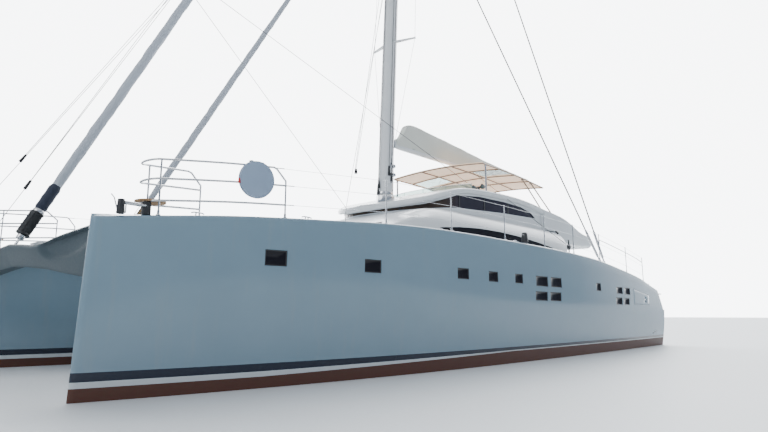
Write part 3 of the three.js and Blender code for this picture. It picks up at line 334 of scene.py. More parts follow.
def newGroup(name, inputs, outputs):
    tree = bpy.data.node_groups.new(name, "ShaderNodeTree")
    for label, kind, value in inputs:
        socket = tree.interface.new_socket(name=label, in_out="INPUT", socket_type=kind)
        if value is not None:
            socket.default_value = value
    for label, kind in outputs:
        tree.interface.new_socket(name=label, in_out="OUTPUT", socket_type=kind)
    return tree, tree.nodes.new("NodeGroupInput"), tree.nodes.new("NodeGroupOutput")


# Slow and quick changes of shade over a surface
def makePatina():
    tree, start, end = newGroup(
        "patina", [("Vector", "NodeSocketVector", None), ("Size", "NodeSocketFloat", 1.0)],
        [("Broad", "NodeSocketFloat"), ("Fine", "NodeSocketFloat")])
    scaled = put(tree, "ShaderNodeVectorMath", {"operation": "SCALE"})
    wire(tree, start, "Vector", scaled, 0)
    wire(tree, start, "Size", scaled, "Scale")
    broad = put(tree, "ShaderNodeTexNoise", None, {"Scale": 0.9, "Detail": 4.0, "Roughness": 0.55})
    fine = put(tree, "ShaderNodeTexNoise", None, {"Scale": 38.0, "Detail": 3.0, "Roughness": 0.6})
    for texture, out in ((broad, "Broad"), (fine, "Fine")):
        wire(tree, scaled, 0, texture, "Vector")
        wire(tree, texture, 0, end, out)
    return tree


# Crossing threads of cloth, from waves along the three axes
def makeWeave():
    tree, start, end = newGroup(
        "weave", [("Vector", "NodeSocketVector", None), ("Threads", "NodeSocketFloat", 200.0)],
        [("Height", "NodeSocketFloat")])
    heights = []
    for axis in ("X", "Y", "Z"):
        wave = put(tree, "ShaderNodeTexWave", {"bands_direction": axis}, {"Distortion": 0.4, "Detail": 1.0})
        wire(tree, start, "Vector", wave, "Vector")
        wire(tree, start, "Threads", wave, "Scale")
        heights.append(wave.outputs["Fac"])
    low = mathNode(tree, "MAXIMUM", heights[0], heights[1])
    high = mathNode(tree, "MAXIMUM", low, heights[2])
    feed(tree, high, end, "Height")
    return tree


# Streaks that run down a surface
def makeStreaks():
    tree, start, end = newGroup("streaks", [("Vector", "NodeSocketVector", None)],
                                [("Streak", "NodeSocketFloat")])
    flat = put(tree, "ShaderNodeVectorMath", {"operation": "MULTIPLY"})
    flat.inputs[1].default_value = (2.4, 2.4, 0.22)
    wire(tree, start, "Vector", flat, 0)
    runs = put(tree, "ShaderNodeTexNoise", None, {"Scale": 1.6, "Detail": 5.0, "Roughness": 0.62})
    wire(tree, flat, 0, runs, "Vector")
    strong = put(tree, "ShaderNodeMapRange", None, {"From Min": 0.56, "From Max": 0.8})
    wire(tree, runs, 0, strong, "Value")
    wire(tree, strong, 0, end, "Streak")
    return tree


patina, weave, streaks = makePatina(), makeWeave(), makeStreaks()


def newMaterial(name, values):
    material = bpy.data.materials.new(name)
    material.use_nodes = True
    tree = material.node_tree
    shader = tree.nodes["Principled BSDF"]
    for key, value in values.items():
        shader.inputs[key].default_value = value
    place = put(tree, "ShaderNodeTexCoord")
    return material, tree, shader, place


def useGroup(tree, group, place, values=None):
    node = put(tree, "ShaderNodeGroup", {"node_tree": group}, values)
    wire(tree, place, "Object", node, "Vector")
    return node


def mixed(tree, factor, first, second):
    node = put(tree, "ShaderNodeMix", {"data_type": "RGBA"})
    for value, socket in ((first, 6), (second, 7)):
        if isinstance(value, tuple):
            node.inputs[socket].default_value = (*value, 1)
        else:
            tree.links.new(value, node.inputs[socket])
    tree.links.new(factor, node.inputs[0])
    return node.outputs[2]


def bumped(tree, shader, height, strength, distance):
    bump = put(tree, "ShaderNodeBump", None, {"Strength": strength, "Distance": distance})
    feed(tree, height, bump, "Height")
    wire(tree, bump, 0, shader, "Normal")


def ranged(tree, value, low, high):
    node = put(tree, "ShaderNodeMapRange", None,
               {"From Min": 0.3, "From Max": 0.7, "To Min": low, "To Max": high})
    feed(tree, value, node, "Value")
    return node.outputs[0]


# A coated or moulded surface: its shade and gloss wander a little and its skin is faintly uneven
def coated(name, color, dark, rough, size=1.0, unevenness=0.15, distance=0.002, **values):
    material, tree, shader, place = newMaterial(name, values)
    node = useGroup(tree, patina, place, {"Size": size})
    feed(tree, mixed(tree, node.outputs["Broad"], dark, color), shader, "Base Color")
    feed(tree, ranged(tree, node.outputs["Fine"], rough[0], rough[1]), shader, "Roughness")
    bumped(tree, shader, node.outputs["Fine"], unevenness, distance)
    return material


def clothMaterial(name, color, dark, threads, rough=0.85, sheen=0.25, size=2.0, glow=0.0):
    material, tree, shader, place = newMaterial(
        name, {"Roughness": rough, "Sheen Weight": sheen, "Emission Strength": glow})
    node = useGroup(tree, patina, place, {"Size": size})
    threadsNode = useGroup(tree, weave, place, {"Threads": threads})
    tone = mixed(tree, node.outputs["Broad"], dark, color)
    shade = mathNode(tree, "MULTIPLY", threadsNode.outputs["Height"], 0.18)
    deeper = mixed(tree, shade, tone, tuple(0.55 * c for c in color))
    feed(tree, deeper, shader, "Base Color")
    # painted light: the glow is an emission in the cloth's own colour that stands in for daylight coming
    # through thin cloth
    if glow:
        feed(tree, deeper, shader, "Emission Color")    # daylight that comes through thin cloth
    bumped(tree, shader, threadsNode.outputs["Height"], 0.35, 0.0012)
    return material


# Topsides with the boot stripes: the height of each one's top at the bow, and how much it rises with each
# metre between two distances from the stem
stripes = {"red": (0.262, 0.015), "white": (0.378, 0.0068), "navy": (0.553, 0.0), "stem": 15.5, "from": 4.0,
           "to": 14.0}
topsides = {"gelcoat": (0.235, 0.335, 0.41), "gelcoatDark": (0.2, 0.295, 0.365),
            "antifouling": (0.11, 0.028, 0.024), "line": (0.6, 0.64, 0.66), "navy": (0.008, 0.014, 0.032),
            "weed": (0.06, 0.07, 0.03)}


def makeTopsides():
    values = {"Coat Weight": 0.25, "Coat Roughness": 0.04, "Specular IOR Level": 0.35}
    material, tree, shader, place = newMaterial("topsides", values)
    node = useGroup(tree, patina, place, {"Size": 0.6})
    runs = useGroup(tree, streaks, place)
    split = axes(tree, place)
    back = mathNode(tree, "SUBTRACT", stripes["stem"] - stripes["from"], split.outputs["X"])
    back = mathNode(tree, "MINIMUM", mathNode(tree, "MAXIMUM", back, 0.0), stripes["to"] - stripes["from"])

    def above(level):
        low, rise = stripes[level]
        return mathNode(tree, "GREATER_THAN", split.outputs["Z"],
                        mathNode(tree, "MULTIPLY_ADD", back, rise, low))
    gelcoat = mixed(tree, node.outputs["Broad"], topsides["gelcoatDark"], topsides["gelcoat"])
    dulled = mixed(tree, mathNode(tree, "MULTIPLY", runs.outputs["Streak"], 0.25), gelcoat, (0.3, 0.34, 0.34))
    weedy = mixed(tree, mathNode(tree, "MULTIPLY", node.outputs["Fine"], 0.5), topsides["antifouling"],
                  topsides["weed"])
    color = weedy
    for level, tone in (("red", topsides["line"]), ("white", topsides["navy"]), ("navy", dulled)):
        color = mixed(tree, above(level), color, tone)
    feed(tree, color, shader, "Base Color")
    rough = put(tree, "ShaderNodeMapRange", None, {"To Min": 0.75, "To Max": 0.14})
    feed(tree, above("red"), rough, "Value")
    wire(tree, rough, 0, shader, "Roughness")
    bumped(tree, shader, node.outputs["Broad"], 0.12, 0.05)
    return material


# Tones from dark to light of the finishes with a pattern of their own, and the sizes of their patterns
deckFinish = {"tones": ((0.62, 0.63, 0.62), (0.74, 0.75, 0.74)), "studs": 60.0, "rough": (0.45, 0.65)}
teakFinish = {"tones": ((0.23, 0.12, 0.055), (0.5, 0.32, 0.17)), "caulk": (0.03, 0.03, 0.03), "planks": 16.0,
              "seam": 0.09, "stretch": (1.2, 26.0, 8.0), "rough": (0.55, 0.75)}
paneFinish = {"side": ((0.025, 0.024, 0.035), (0.05, 0.046, 0.066)), "lining": (-1.1, 0.2),
              "front": ((0.045, 0.033, 0.026), (0.1, 0.075, 0.06)), "rough": (0.03, 0.06)}


# Deck with a grip pattern moulded in
def makeDeck():
    material, tree, shader, place = newMaterial("gripDeck", {})
    node = useGroup(tree, patina, place, {"Size": 1.0})
    studs = put(tree, "ShaderNodeTexVoronoi", {"distance": "CHEBYCHEV"},
                {"Scale": deckFinish["studs"], "Randomness": 0.15})
    wire(tree, place, "Object", studs, "Vector")
    feed(tree, mixed(tree, node.outputs["Broad"], *deckFinish["tones"]), shader, "Base Color")
    feed(tree, ranged(tree, node.outputs["Fine"], *deckFinish["rough"]), shader, "Roughness")
    bumped(tree, shader, studs.outputs["Distance"], 0.4, 0.002)
    return material


# Planks with dark caulking between them, running fore and aft
def makeTeak():
    material, tree, shader, place = newMaterial("teak", {})
    node = useGroup(tree, patina, place, {"Size": 4.0})
    stretch = put(tree, "ShaderNodeVectorMath", {"operation": "MULTIPLY"})
    stretch.inputs[1].default_value = teakFinish["stretch"]
    wire(tree, place, "Object", stretch, 0)
    grain = put(tree, "ShaderNodeTexNoise", None, {"Scale": 2.0, "Detail": 6.0})
    wire(tree, stretch, 0, grain, "Vector")
    split = axes(tree, place)
    plank = mathNode(tree, "FRACT", mathNode(tree, "MULTIPLY", split.outputs["Y"], teakFinish["planks"]), 0)
    seam = mathNode(tree, "LESS_THAN", plank, teakFinish["seam"])
    wood = mixed(tree, grain.outputs[0], *teakFinish["tones"])
    feed(tree, mixed(tree, seam, wood, teakFinish["caulk"]), shader, "Base Color")
    feed(tree, ranged(tree, node.outputs["Fine"], *teakFinish["rough"]), shader, "Roughness")
    bumped(tree, shader, grain.outputs[0], 0.2, 0.001)
    return material


def makeGlass(name, color, rough, see):
    values = {"Metallic": 0.0, "IOR": 1.5, "Transmission Weight": see,
              "Specular IOR Level": 0.5 if see else 0.2}
    material, tree, shader, place = newMaterial(name, values)
    node = useGroup(tree, patina, place, {"Size": 0.7})
    feed(tree, mixed(tree, node.outputs["Broad"], tuple(0.7 * c for c in color), color), shader, "Base Color")
    feed(tree, ranged(tree, node.outputs["Fine"], rough, rough + 0.03), shader, "Roughness")
    return material


# Brown panes at the nose, where the cabin's lining shows through, and dark ones along the sides
def makeDeckhouseGlass():
    values = {"Metallic": 0.0, "IOR": 1.5, "Specular IOR Level": 0.2}
    material, tree, shader, place = newMaterial("deckhouseGlass", values)
    node = useGroup(tree, patina, place, {"Size": 0.5})
    split = axes(tree, place)
    start, end = paneFinish["lining"]
    ahead = put(tree, "ShaderNodeMapRange", None, {"From Min": start, "From Max": end})
    wire(tree, split, "X", ahead, "Value")
    side, front = (mixed(tree, node.outputs["Broad"], *paneFinish[part]) for part in ("side", "front"))
    feed(tree, mixed(tree, ahead.outputs[0], side, front), shader, "Base Color")
    feed(tree, ranged(tree, node.outputs["Fine"], *paneFinish["rough"]), shader, "Roughness")
    return material


looks = {
    "topsides": makeTopsides(),
    "deckhouseGlass": makeDeckhouseGlass(),
    "gripDeck": makeDeck(),
    "steel": coated("steel", (0.8, 0.81, 0.83), (0.55, 0.56, 0.58), (0.12, 0.26), size=8.0, unevenness=0.05,
                    distance=0.0005, Metallic=1.0),
    "teak": makeTeak(),
    "white": coated("whiteGelcoat", (0.80, 0.83, 0.85), (0.74, 0.77, 0.79), (0.16, 0.28), size=0.8,
                    unevenness=0.06),
    "antifouling": coated("antifouling", (0.19, 0.05, 0.04), (0.1, 0.05, 0.035), (0.65, 0.85),
                          unevenness=0.4),
    "darkGlass": makeGlass("darkGlass", (0.012, 0.011, 0.016), 0.03, 0.0),
    "clearGlass": makeGlass("clearGlass", (0.62, 0.78, 0.74), 0.03, 0.8),
    "mastPaint": coated("mastPaint", (0.84, 0.86, 0.87), (0.76, 0.78, 0.8), (0.2, 0.34), size=1.5,
                        unevenness=0.08),
    "bronze": coated("bronze", (0.62, 0.42, 0.2), (0.42, 0.3, 0.16), (0.25, 0.45), size=6, Metallic=1.0),
    "black": coated("blackPlastic", (0.02, 0.021, 0.024), (0.032, 0.033, 0.036), (0.38, 0.55), size=8,
                    unevenness=0.2),
    "bronzePaint": coated("bronzePaint", (0.34, 0.26, 0.20), (0.26, 0.20, 0.15), (0.3, 0.45), size=5,
                          Metallic=0.4),
    "rod": coated("rodMetal", (0.055, 0.06, 0.07), (0.04, 0.043, 0.05), (0.4, 0.55), size=6, Metallic=0.3),
    "furled": clothMaterial("furledCloth", (0.56, 0.60, 0.66), (0.47, 0.51, 0.57), 150.0),
    "coverCloth": clothMaterial("coverCloth", (0.80, 0.82, 0.76), (0.72, 0.74, 0.68), 120.0),
    # the canopy cloth glows with painted light, standing for the daylight that comes through it
    "canopyCloth": clothMaterial("canopyCloth", (0.90, 0.68, 0.51), (0.84, 0.61, 0.44), 160.0, glow=0.95),
    "cushionCloth": clothMaterial("cushionCloth", (0.72, 0.68, 0.61), (0.63, 0.59, 0.52), 180.0),
    "bootCloth": clothMaterial("bootCloth", (0.03, 0.04, 0.07), (0.02, 0.027, 0.05), 120.0),
    "net": clothMaterial("netCord", (0.10, 0.105, 0.115), (0.07, 0.075, 0.08), 90.0),
    "rope": clothMaterial("rope", (0.62, 0.62, 0.58), (0.48, 0.48, 0.45), 260.0),
    "darkRope": clothMaterial("darkRope", (0.05, 0.055, 0.06), (0.03, 0.032, 0.036), 260.0),
    "caseBlue": coated("caseBlue", (0.34, 0.43, 0.56), (0.29, 0.38, 0.51), (0.25, 0.4), size=3,
                       unevenness=0.1),
    # Beam gelcoat darkened with painted shade: much darker than the hulls' gelcoat, standing for the shade
    # the beam sits in under the bridge deck
    "beamGelcoatPaintedShade": coated("beamGelcoatPaintedShade", (0.064, 0.088, 0.102), (0.054, 0.075, 0.088), (0.45, 0.55), size=0.6,
                          **{"Specular IOR Level": 0.15}),
    "red": coated("redPlastic", (0.62, 0.05, 0.04), (0.5, 0.04, 0.035), (0.35, 0.5), size=4),
    "floor": coated("floorSheet", (0.60, 0.63, 0.65), (0.576, 0.6048, 0.624), (0.45, 0.6), size=0.3),
}
print("materials ready")

# Floor, light and surroundings

studio = {"behind": (0.235, 0.295, 0.375), "ahead": (7.6, 7.8, 8.0),
          "top": (0.8, 0.84, 0.9), "toBright": (-0.74, -0.65, 0.17),
          "sun": {"place": (40, 6, 30), "energy": 0.9, "angle": 40}}


# The room is bright behind the boat and overhead, and dimmer behind the camera
def addRoom():
    world = bpy.data.worlds.new("studio")
    bpy.context.scene.world = world
    world.use_nodes = True
    tree = world.node_tree
    place = put(tree, "ShaderNodeTexCoord")
    facing = put(tree, "ShaderNodeVectorMath", {"operation": "DOT_PRODUCT"})
    wire(tree, place, "Generated", facing, 0)
    facing.inputs[1].default_value = studio["toBright"]
    split = axes(tree, place, "Generated")
    ahead = put(tree, "ShaderNodeMapRange", {"interpolation_type": "SMOOTHSTEP"},
                {"From Min": 0.4, "From Max": 0.86})
    wire(tree, facing, "Value", ahead, "Value")
    above = put(tree, "ShaderNodeMapRange", {"interpolation_type": "SMOOTHSTEP"},
                {"From Min": 0.1, "From Max": 0.9})
    wire(tree, split, "Z", above, "Value")
    lifted = mixed(tree, above.outputs[0], studio["behind"], studio["top"])
    background = tree.nodes["Background"]
    tree.links.new(mixed(tree, ahead.outputs[0], lifted, studio["ahead"]), background.inputs["Color"])


def addStudio():
    selectNone()
    bpy.ops.mesh.primitive_plane_add(size=600)
    floor = settle("floor")
    paint(floor, "floor")
    addRoom()
    bpy.ops.object.light_add(type="SUN", location=studio["sun"]["place"])
    sun = bpy.context.active_object
    sun.rotation_euler = (-Vector(studio["sun"]["place"])).to_track_quat("-Z", "Y").to_euler()
    sun.data.energy = studio["sun"]["energy"]
    sun.data.angle = radians(studio["sun"]["angle"])


addStudio()
print("studio ready")

# CAD nodes that stay, each with its own finish

allSlots = {row["node"]: row["material_slot"] for row in frame["record"]["subparts"]}
slotLooks = {"gelcoat": "topsides", "white": "white", "antifouling": "antifouling", "dark_glass": "darkGlass",
             "clear_glass": "clearGlass", "steel": "steel", "mast_paint": "mastPaint", "bronze": "bronze",
             "black": "black", "furled_sail": "furled", "cover_cloth": "coverCloth",
             "canopy_cloth": "canopyCloth", "teak": "teak", "net": "net", "cushion": "cushionCloth",
             "rod": "rod"}
for node, piece in frame["nodes"].items():
    paint(piece, slotLooks[allSlots[node]])
paint(frame["nodes"]["deckhouse_glass"], "deckhouseGlass")
print("frame painted")

# Hulls

# All the shapes below repeat the model's own tables, in metres
hull = {"centre": 5.1, "length": 31.0, "stem": 15.5, "stemHalf": 0.045, "rake": 0.15, "water": (1.54, 1.25),
        "deck": (1.64, 1.5), "crown": 0.05, "gunwale": 0.07, "nose": 0.1, "margin": 0.28, "station": 0.22,
        "bottomSteps": 10, "sideSteps": 12}
sheerLine = [(15.5, 3.61), (14.1, 3.735), (12.4, 3.88), (10.2, 4.01), (7.4, 4.17), (5.0, 4.225), (1.9, 4.228),
             (-1.9, 4.2), (-4.4, 4.14), (-6.6, 4.035), (-9.0, 3.81), (-11.8, 3.48), (-13.3, 3.18),
             (-15.5, 2.76)]
keelLine = [(15.5, -0.25), (15.1, -0.7), (14.0, -0.98), (10.0, -1.18), (0.0, -1.25), (-5.0, -1.16),
            (-9.0, -0.98), (-12.0, -0.6), (-15.5, -0.28)]


def curveAt(table, x):
    rows = sorted(table)
    if x <= rows[0][0]:
        return rows[0][1]
    if x >= rows[-1][0]:
        return rows[-1][1]
    i = max(k for k in range(len(rows) - 1) if rows[k][0] <= x)

    def slope(k):
        before, after = rows[max(k - 1, 0)], rows[min(k + 1, len(rows) - 1)]
        return (after[1] - before[1]) / (after[0] - before[0])
    step = rows[i + 1][0] - rows[i][0]
    t = (x - rows[i][0]) / step
    blend = t * t * (3 - 2 * t)
    bend = t * (1 - t) * step
    return rows[i][1] * (1 - blend) + rows[i + 1][1] * blend + bend * (slope(i) * (1 - t) - slope(i + 1) * t)


# Angles of a quarter turn and of a full turn in equal steps; closed repeats the first one at the end
def quarterSteps(count):
    return [k / count * pi / 2 for k in range(count + 1)]


def turnSteps(count, closed=False):
    return [k / count * 2 * pi for k in range(count + int(closed))]


def fullness(start, power, distance):
    return 1 if distance >= start else 1 - (1 - distance / start) ** power


# Half widths at the water and at the deck: a full bow, then a run that narrows to the stern
def halfAtWater(x):
    s = (hull["stem"] - x) / hull["length"]
    run = max(0, (s - 0.55) / 0.45)
    wide, stern = hull["water"]
    return hull["stemHalf"] + (wide - hull["stemHalf"]) * fullness(0.55, 2.67, s) - (wide - stern) * run * run


def halfAtDeck(x):
    s = (hull["stem"] - x) / hull["length"]
    run = max(0, (s - 0.5) / 0.5)
    wide, stern = hull["deck"]
    bow = 2 * hull["stemHalf"]
    return bow + (wide - bow) * fullness(0.5, 3.1, s) - (wide - stern) * run * run


def deckEdge(x):
    return curveAt(sheerLine, x)


def sideHalf(x, z):
    t = max(0.0, min(1.0, z / deckEdge(x)))
    water, deck = halfAtWater(x), halfAtDeck(x)
    return water + (deck - water) * t + 0.05 * deck * sin(pi * t)


def sideY(x, z):
    return hull["centre"] + sideHalf(x, z)


def hullRing(x, narrow=1.0):
    water, deck, depth, sheer = halfAtWater(x), halfAtDeck(x), curveAt(keelLine, x), deckEdge(x)
    radius = min(hull["gunwale"], 0.4 * deck)
    half = [(water * sin(a) ** 0.9, depth * max(cos(a), 0) ** 0.9) for a in quarterSteps(hull["bottomSteps"])]
    top = sheer - radius
    for k in range(1, hull["sideSteps"] + 1):
        z = top * k / hull["sideSteps"]
        half.append((sideHalf(x, z), z))
    inner = half[-1][0] - radius
    half += [(inner + radius * cos(a), top + radius * sin(a)) for a in quarterSteps(5)[1:]]
    half += [(inner * (1 - k / 5), sheer + hull["crown"] * k / 5) for k in range(1, 6)]
    ring = half + [(-y, z) for y, z in reversed(half[1:-1])]
    nearBow = max(0.0, min(1.0, (x - 9) / (hull["stem"] - 9))) ** 3
    return [(x - hull["rake"] * nearBow * max(z, 0) / sheerLine[0][1], hull["centre"] + y * narrow, z)
            for y, z in ring]


def hullStations():
    step, front = hull["station"], hull["stem"] - hull["nose"]
    rows = [(-hull["stem"] + i * step, 1.0) for i in range(int(30.0 / step))]
    rows += [(x, 1.0) for x in (14.55, 14.75, 14.95, 15.1, 15.22, 15.32, front)]
    return rows + [(front + hull["nose"] * sin(a), max(0.03, cos(a))) for a in quarterSteps(8)[1:]]


# A block with its two faces laid along the hull's outer side, a given distance off it
def blockOnSide(name, x0, x1, z0, z1, near, far):
    piece = block(name, (min(x0, x1), near, min(z0, z1)), (max(x0, x1), far, max(z0, z1)))
    for vertex in piece.data.vertices:
        vertex.co.y += sideY(vertex.co.x, vertex.co.z)
    return piece


sideWindows = [(11.70, 11.12, 2.78, 3.15), (8.71, 8.11, 2.75, 3.10), (4.74, 4.14, 2.74, 3.08),
               (2.99, 2.41, 2.72, 3.06), (1.27, 0.72, 2.73, 3.06), (-0.27, -1.22, 2.68, 3.06),
               (-1.48, -2.41, 2.68, 3.06), (-0.20, -1.15, 2.15, 2.49), (-1.38, -2.32, 2.15, 2.49),
               (-5.89, -6.40, 2.66, 3.0), (-8.28, -9.07, 2.59, 2.91), (-9.35, -10.09, 2.58, 2.90),
               (-8.16, -8.97, 2.09, 2.42), (-9.22, -9.94, 2.09, 2.41)]
windowFit = {"recess": 0.045, "face": -0.006, "gap": 0.006, "frame": 0.026, "sunk": -0.014}
stern = {"platform": 0.52, "front": -14.5, "rise": 0.33, "run": 0.3, "count": 7, "half": 1.05, "top": 4.5,
         "behind": -16.0, "stepsFrom": -12.3, "transomHalf": 2.5,
         "transom": [(-15.34, 1.88), (-14.6, 2.76), (-14.25, 3.2), (-16.5, 3.2), (-16.5, 1.88)],
         "wing": (2.715, 2.765), "wingAt": (-14.9, 2.6),
         "wingEdge": [(-14.3, -0.5), (-14.35, 0.01), (-15.2, -0.02), (-15.44, -0.12), (-15.44, -0.42),
                      (-15.1, -0.5)],
         "edgeStrip": ((-15.52, 3.75, 0.44), (-15.49, 6.25, 0.5))}
door = {"front": -10.6, "aft": -12.9, "bottom": 2.12, "top": 2.89, "slope": 0.115, "thick": 0.06,
        "gap": 0.008, "cut": (-0.42, 0.9), "pocket": (-12.1, -12.49, 2.24, 2.52),
        "handle": (-12.14, -12.45, 2.36, 2.40)}
exhausts = {"places": ((-13.94, 0.75), (-13.62, 0.7)), "bore": 0.05, "rim": (0.062, 0.055), "lip": 0.016}


def sternStepCutter():
    outline = [(stern["behind"], stern["platform"]), (stern["front"], stern["platform"])]
    for i in range(1, stern["count"] + 1):
        x, z = stern["front"] + (i - 1) * stern["run"], stern["platform"] + i * stern["rise"]
        outline += [(x, z), (x + stern["run"], z)]
    outline += [(stern["front"] + stern["count"] * stern["run"], stern["top"]),
                (stern["behind"], stern["top"])]
    cutter = prism("step_cutter", outline, "Y", hull["centre"] - stern["half"],
                   hull["centre"] + stern["half"])
    return rounded(cutter, 0.025, 3, 50)


def doorTop(x, gap=0.0):
    return door["top"] - gap - door["slope"] * (door["front"] - x)


def makeHull():
    piece = skin("port_hull_skin", [hullRing(x, narrow) for x, narrow in hullStations()], closed=True,
                 capped=True)
    cutBy(piece, sternStepCutter())
    near, far = hull["centre"] - stern["transomHalf"], hull["centre"] + stern["transomHalf"]
    cutBy(piece, prism("transom_cutter", stern["transom"], "Y", near, far))
    recess = [(door["front"], door["bottom"]), (door["front"], door["top"]),
              (door["aft"], doorTop(door["aft"])), (door["aft"], door["bottom"])]
    middle = sideY((door["front"] + door["aft"]) / 2, 2.4)
    cutBy(piece, prism("door_cutter", recess, "Y", *(middle + reach for reach in door["cut"])))
    gap, deep = windowFit["gap"], windowFit["recess"]
    cutters = [blockOnSide(f"window_cutter_{i}", x0 + gap, x1 - gap, z0 - gap, z1 + gap, -deep, 0.3)
               for i, (x0, x1, z0, z1) in enumerate(sideWindows)]
    cutBy(piece, joined(cutters, "window_cutters"))
    for x, z in exhausts["places"]:
        y = sideY(x, z)
        cutBy(piece, turnedRod("exhaust_cutter", (x, y - 0.12, z), (x, y + 0.3, z), exhausts["bore"]))
    cleaned(piece, 0.0004)
    paint(piece, "topsides", "gripDeck")
    for face in piece.data.polygons:
        middle = face.center
        across = abs(middle.y - hull["centre"])
        inset = sideHalf(middle.x, 3.0) - across if middle.x > -hull["stem"] else 0
        steps = middle.x < stern["stepsFrom"] and across < stern["half"]
        if face.normal.z > 0.9 and middle.z > 0.4 and (inset > hull["margin"] or steps):
            face.material_index = 1
    return piece


def makeSideWindows():
    pieces = []
    for i, (x0, x1, z0, z1) in enumerate(sideWindows):
        piece = blockOnSide(f"window_{i}", x0, x1, z0, z1, -windowFit["recess"] + 0.003, windowFit["face"])
        insetFaces(piece, lambda face: face.normal.y > 0.8, windowFit["frame"], 0, windowFit["sunk"], 0)
        rounded(piece, 0.004, 2, 30)
        paint(piece, "black", "darkGlass")
        for face in piece.data.polygons:
            wide = face.area > 0.5 * abs((x1 - x0) * (z1 - z0))
            face.material_index = 1 if wide and face.normal.y > 0.8 else 0
        pieces.append(piece)
    return joined(pieces, "port_hull_windows")


# The boarding door's leaf: a patch of the hull's side with its own thickness and a handle sunk in it
def makeBoardingDoor():
    gap = door["gap"]
    rows = []
    for i in range(21):
        x = door["front"] - gap - (door["front"] - door["aft"] - 2 * gap) * i / 20
        low, high = door["bottom"] + 0.006, doorTop(x, 0.012)
        rows.append([(x, sideY(x, low + (high - low) * k / 6), low + (high - low) * k / 6) for k in range(7)])
    piece = editAll(skin("port_boarding_door_skin", rows), bpy.ops.mesh.normals_make_consistent, inside=False)
    if sum(face.normal.y for face in piece.data.polygons) < 0:
        editAll(piece, bpy.ops.mesh.flip_normals)
    modify(piece, "SOLIDIFY", thickness=door["thick"], offset=-1)
    cutBy(piece, blockOnSide("handle_cutter", *door["pocket"], -0.03, 0.1))
    handle = blockOnSide("handle", *door["handle"], -0.026, -0.006)
    rounded(piece, 0.004, 2)
    rounded(handle, 0.008, 2)
    paint(piece, "topsides", "steel")
    paint(handle, "steel", "steel")
    for face in handle.data.polygons:
        face.material_index = 1
    return joined([piece, handle], "port_boarding_door_skin")


# Exhaust rims, the wing plate at the transom's corner and a rubbing strip along the platform's edge
def makeSternTrim():
    pieces = []
    for x, z in exhausts["places"]:
        y = sideY(x, z)
        piece = turnedRod("rim", (x, y - 0.02, z), (x, y + 0.018, z), *exhausts["rim"], sides=24)
        pieces.append(insetFaces(piece, lambda face: face.normal.y > 0.9, exhausts["lip"], 0, -0.03, 0))
    y = sideY(*stern["wingAt"])
    wing = prism("wing", [(x, y + out) for x, out in stern["wingEdge"]], "Z", *stern["wing"])
    rounded(wing, 0.018, 3)
    edge = block("edge_strip", *stern["edgeStrip"])
    rounded(edge, 0.01, 2)
    return joined(pieces + [wing, edge], "port_stern_trim")


hullSkin = makeHull()
windows = makeSideWindows()
doorSkin = makeBoardingDoor()
sternTrim = makeSternTrim()
for label, twin in (("port", False), ("starboard", True)):
    made = [(hullSkin, "gelcoat", "platform", (f"{label}_hull",)), (windows, "dark_glass", "platform", ()),
            (doorSkin, "gelcoat", f"{label}_boarding_door", (f"{label}_boarding_door",)),
            (sternTrim, "white", "platform", ())]
    for piece, slot, body, stands in made:
        if twin:
            piece = mirroredTwin(piece, piece.name.replace("port_", "starboard_"))
        if piece.name.endswith("stern_trim"):
            paint(piece, "white")
        finished(piece, None, body, 32, stands)
print("hulls made")

# Bow beam with its moulded gussets

beam = {"front": 15.23, "aft": 14.56, "round": 0.09,
        "top": [(0, 3.43), (0.9, 3.36), (1.6, 3.29), (2.3, 3.31), (3.2, 3.40), (4.8, 3.5)],
        "under": [(0, 2.86), (0.9, 2.80), (1.6, 2.74), (2.3, 2.68), (3.2, 2.56), (4.8, 2.37)],
        "scoop": {"middle": 3.6, "reach": 1.5, "drop": 0.5, "deep": 0.12}}


def beamRing(y):
    top, under = curveAt(beam["top"], abs(y)), curveAt(beam["under"], abs(y))
    front, aft, radius = beam["front"], beam["aft"], beam["round"]
    scoop = beam["scoop"]
    ring = []
    for k in range(17):
        t = k / 16
        z = top - radius - (top - radius - under - 0.05) * t
        x = front - 0.14 * t ** 1.6
        across, down = (abs(y) - scoop["middle"]) / scoop["reach"], (top - 0.07 - z) / scoop["drop"]
        inside = 1 - across * across - down * down
        if inside > 0 and down > 0:
            x -= scoop["deep"] * min(1, inside * 3) * (0.4 + 0.6 * inside)
        ring.append((x, y, z))
    low = ring[-1][0]
    ring += [(low - 0.05, y, under), (14.74, y, under), (14.69, y, under + 0.05)]
    ring += [(aft + 0.02, y, top - radius - 0.1), (aft, y, top - radius)]
    corner, level = quarterSteps(4), top - radius
    ring += [(aft + radius * (1 - cos(a)), y, level + radius * sin(a)) for a in corner[1:]]
    return ring + [(front - radius * (1 - sin(a)), y, level + radius * cos(a)) for a in corner[:-1]]


beamRows = [y / 100 for y in range(-490, 491, 7)]
beamSkin = skin("bow_beam_skin", [beamRing(y) for y in beamRows], closed=True, capped=True)
# painted shade: the beam takes the darkened gelcoat that stands for the shade under the bridge deck
finished(beamSkin, "beamGelcoatPaintedShade", angle=40, stands=("bow_beam",))
print("beam made")

# Superstructure

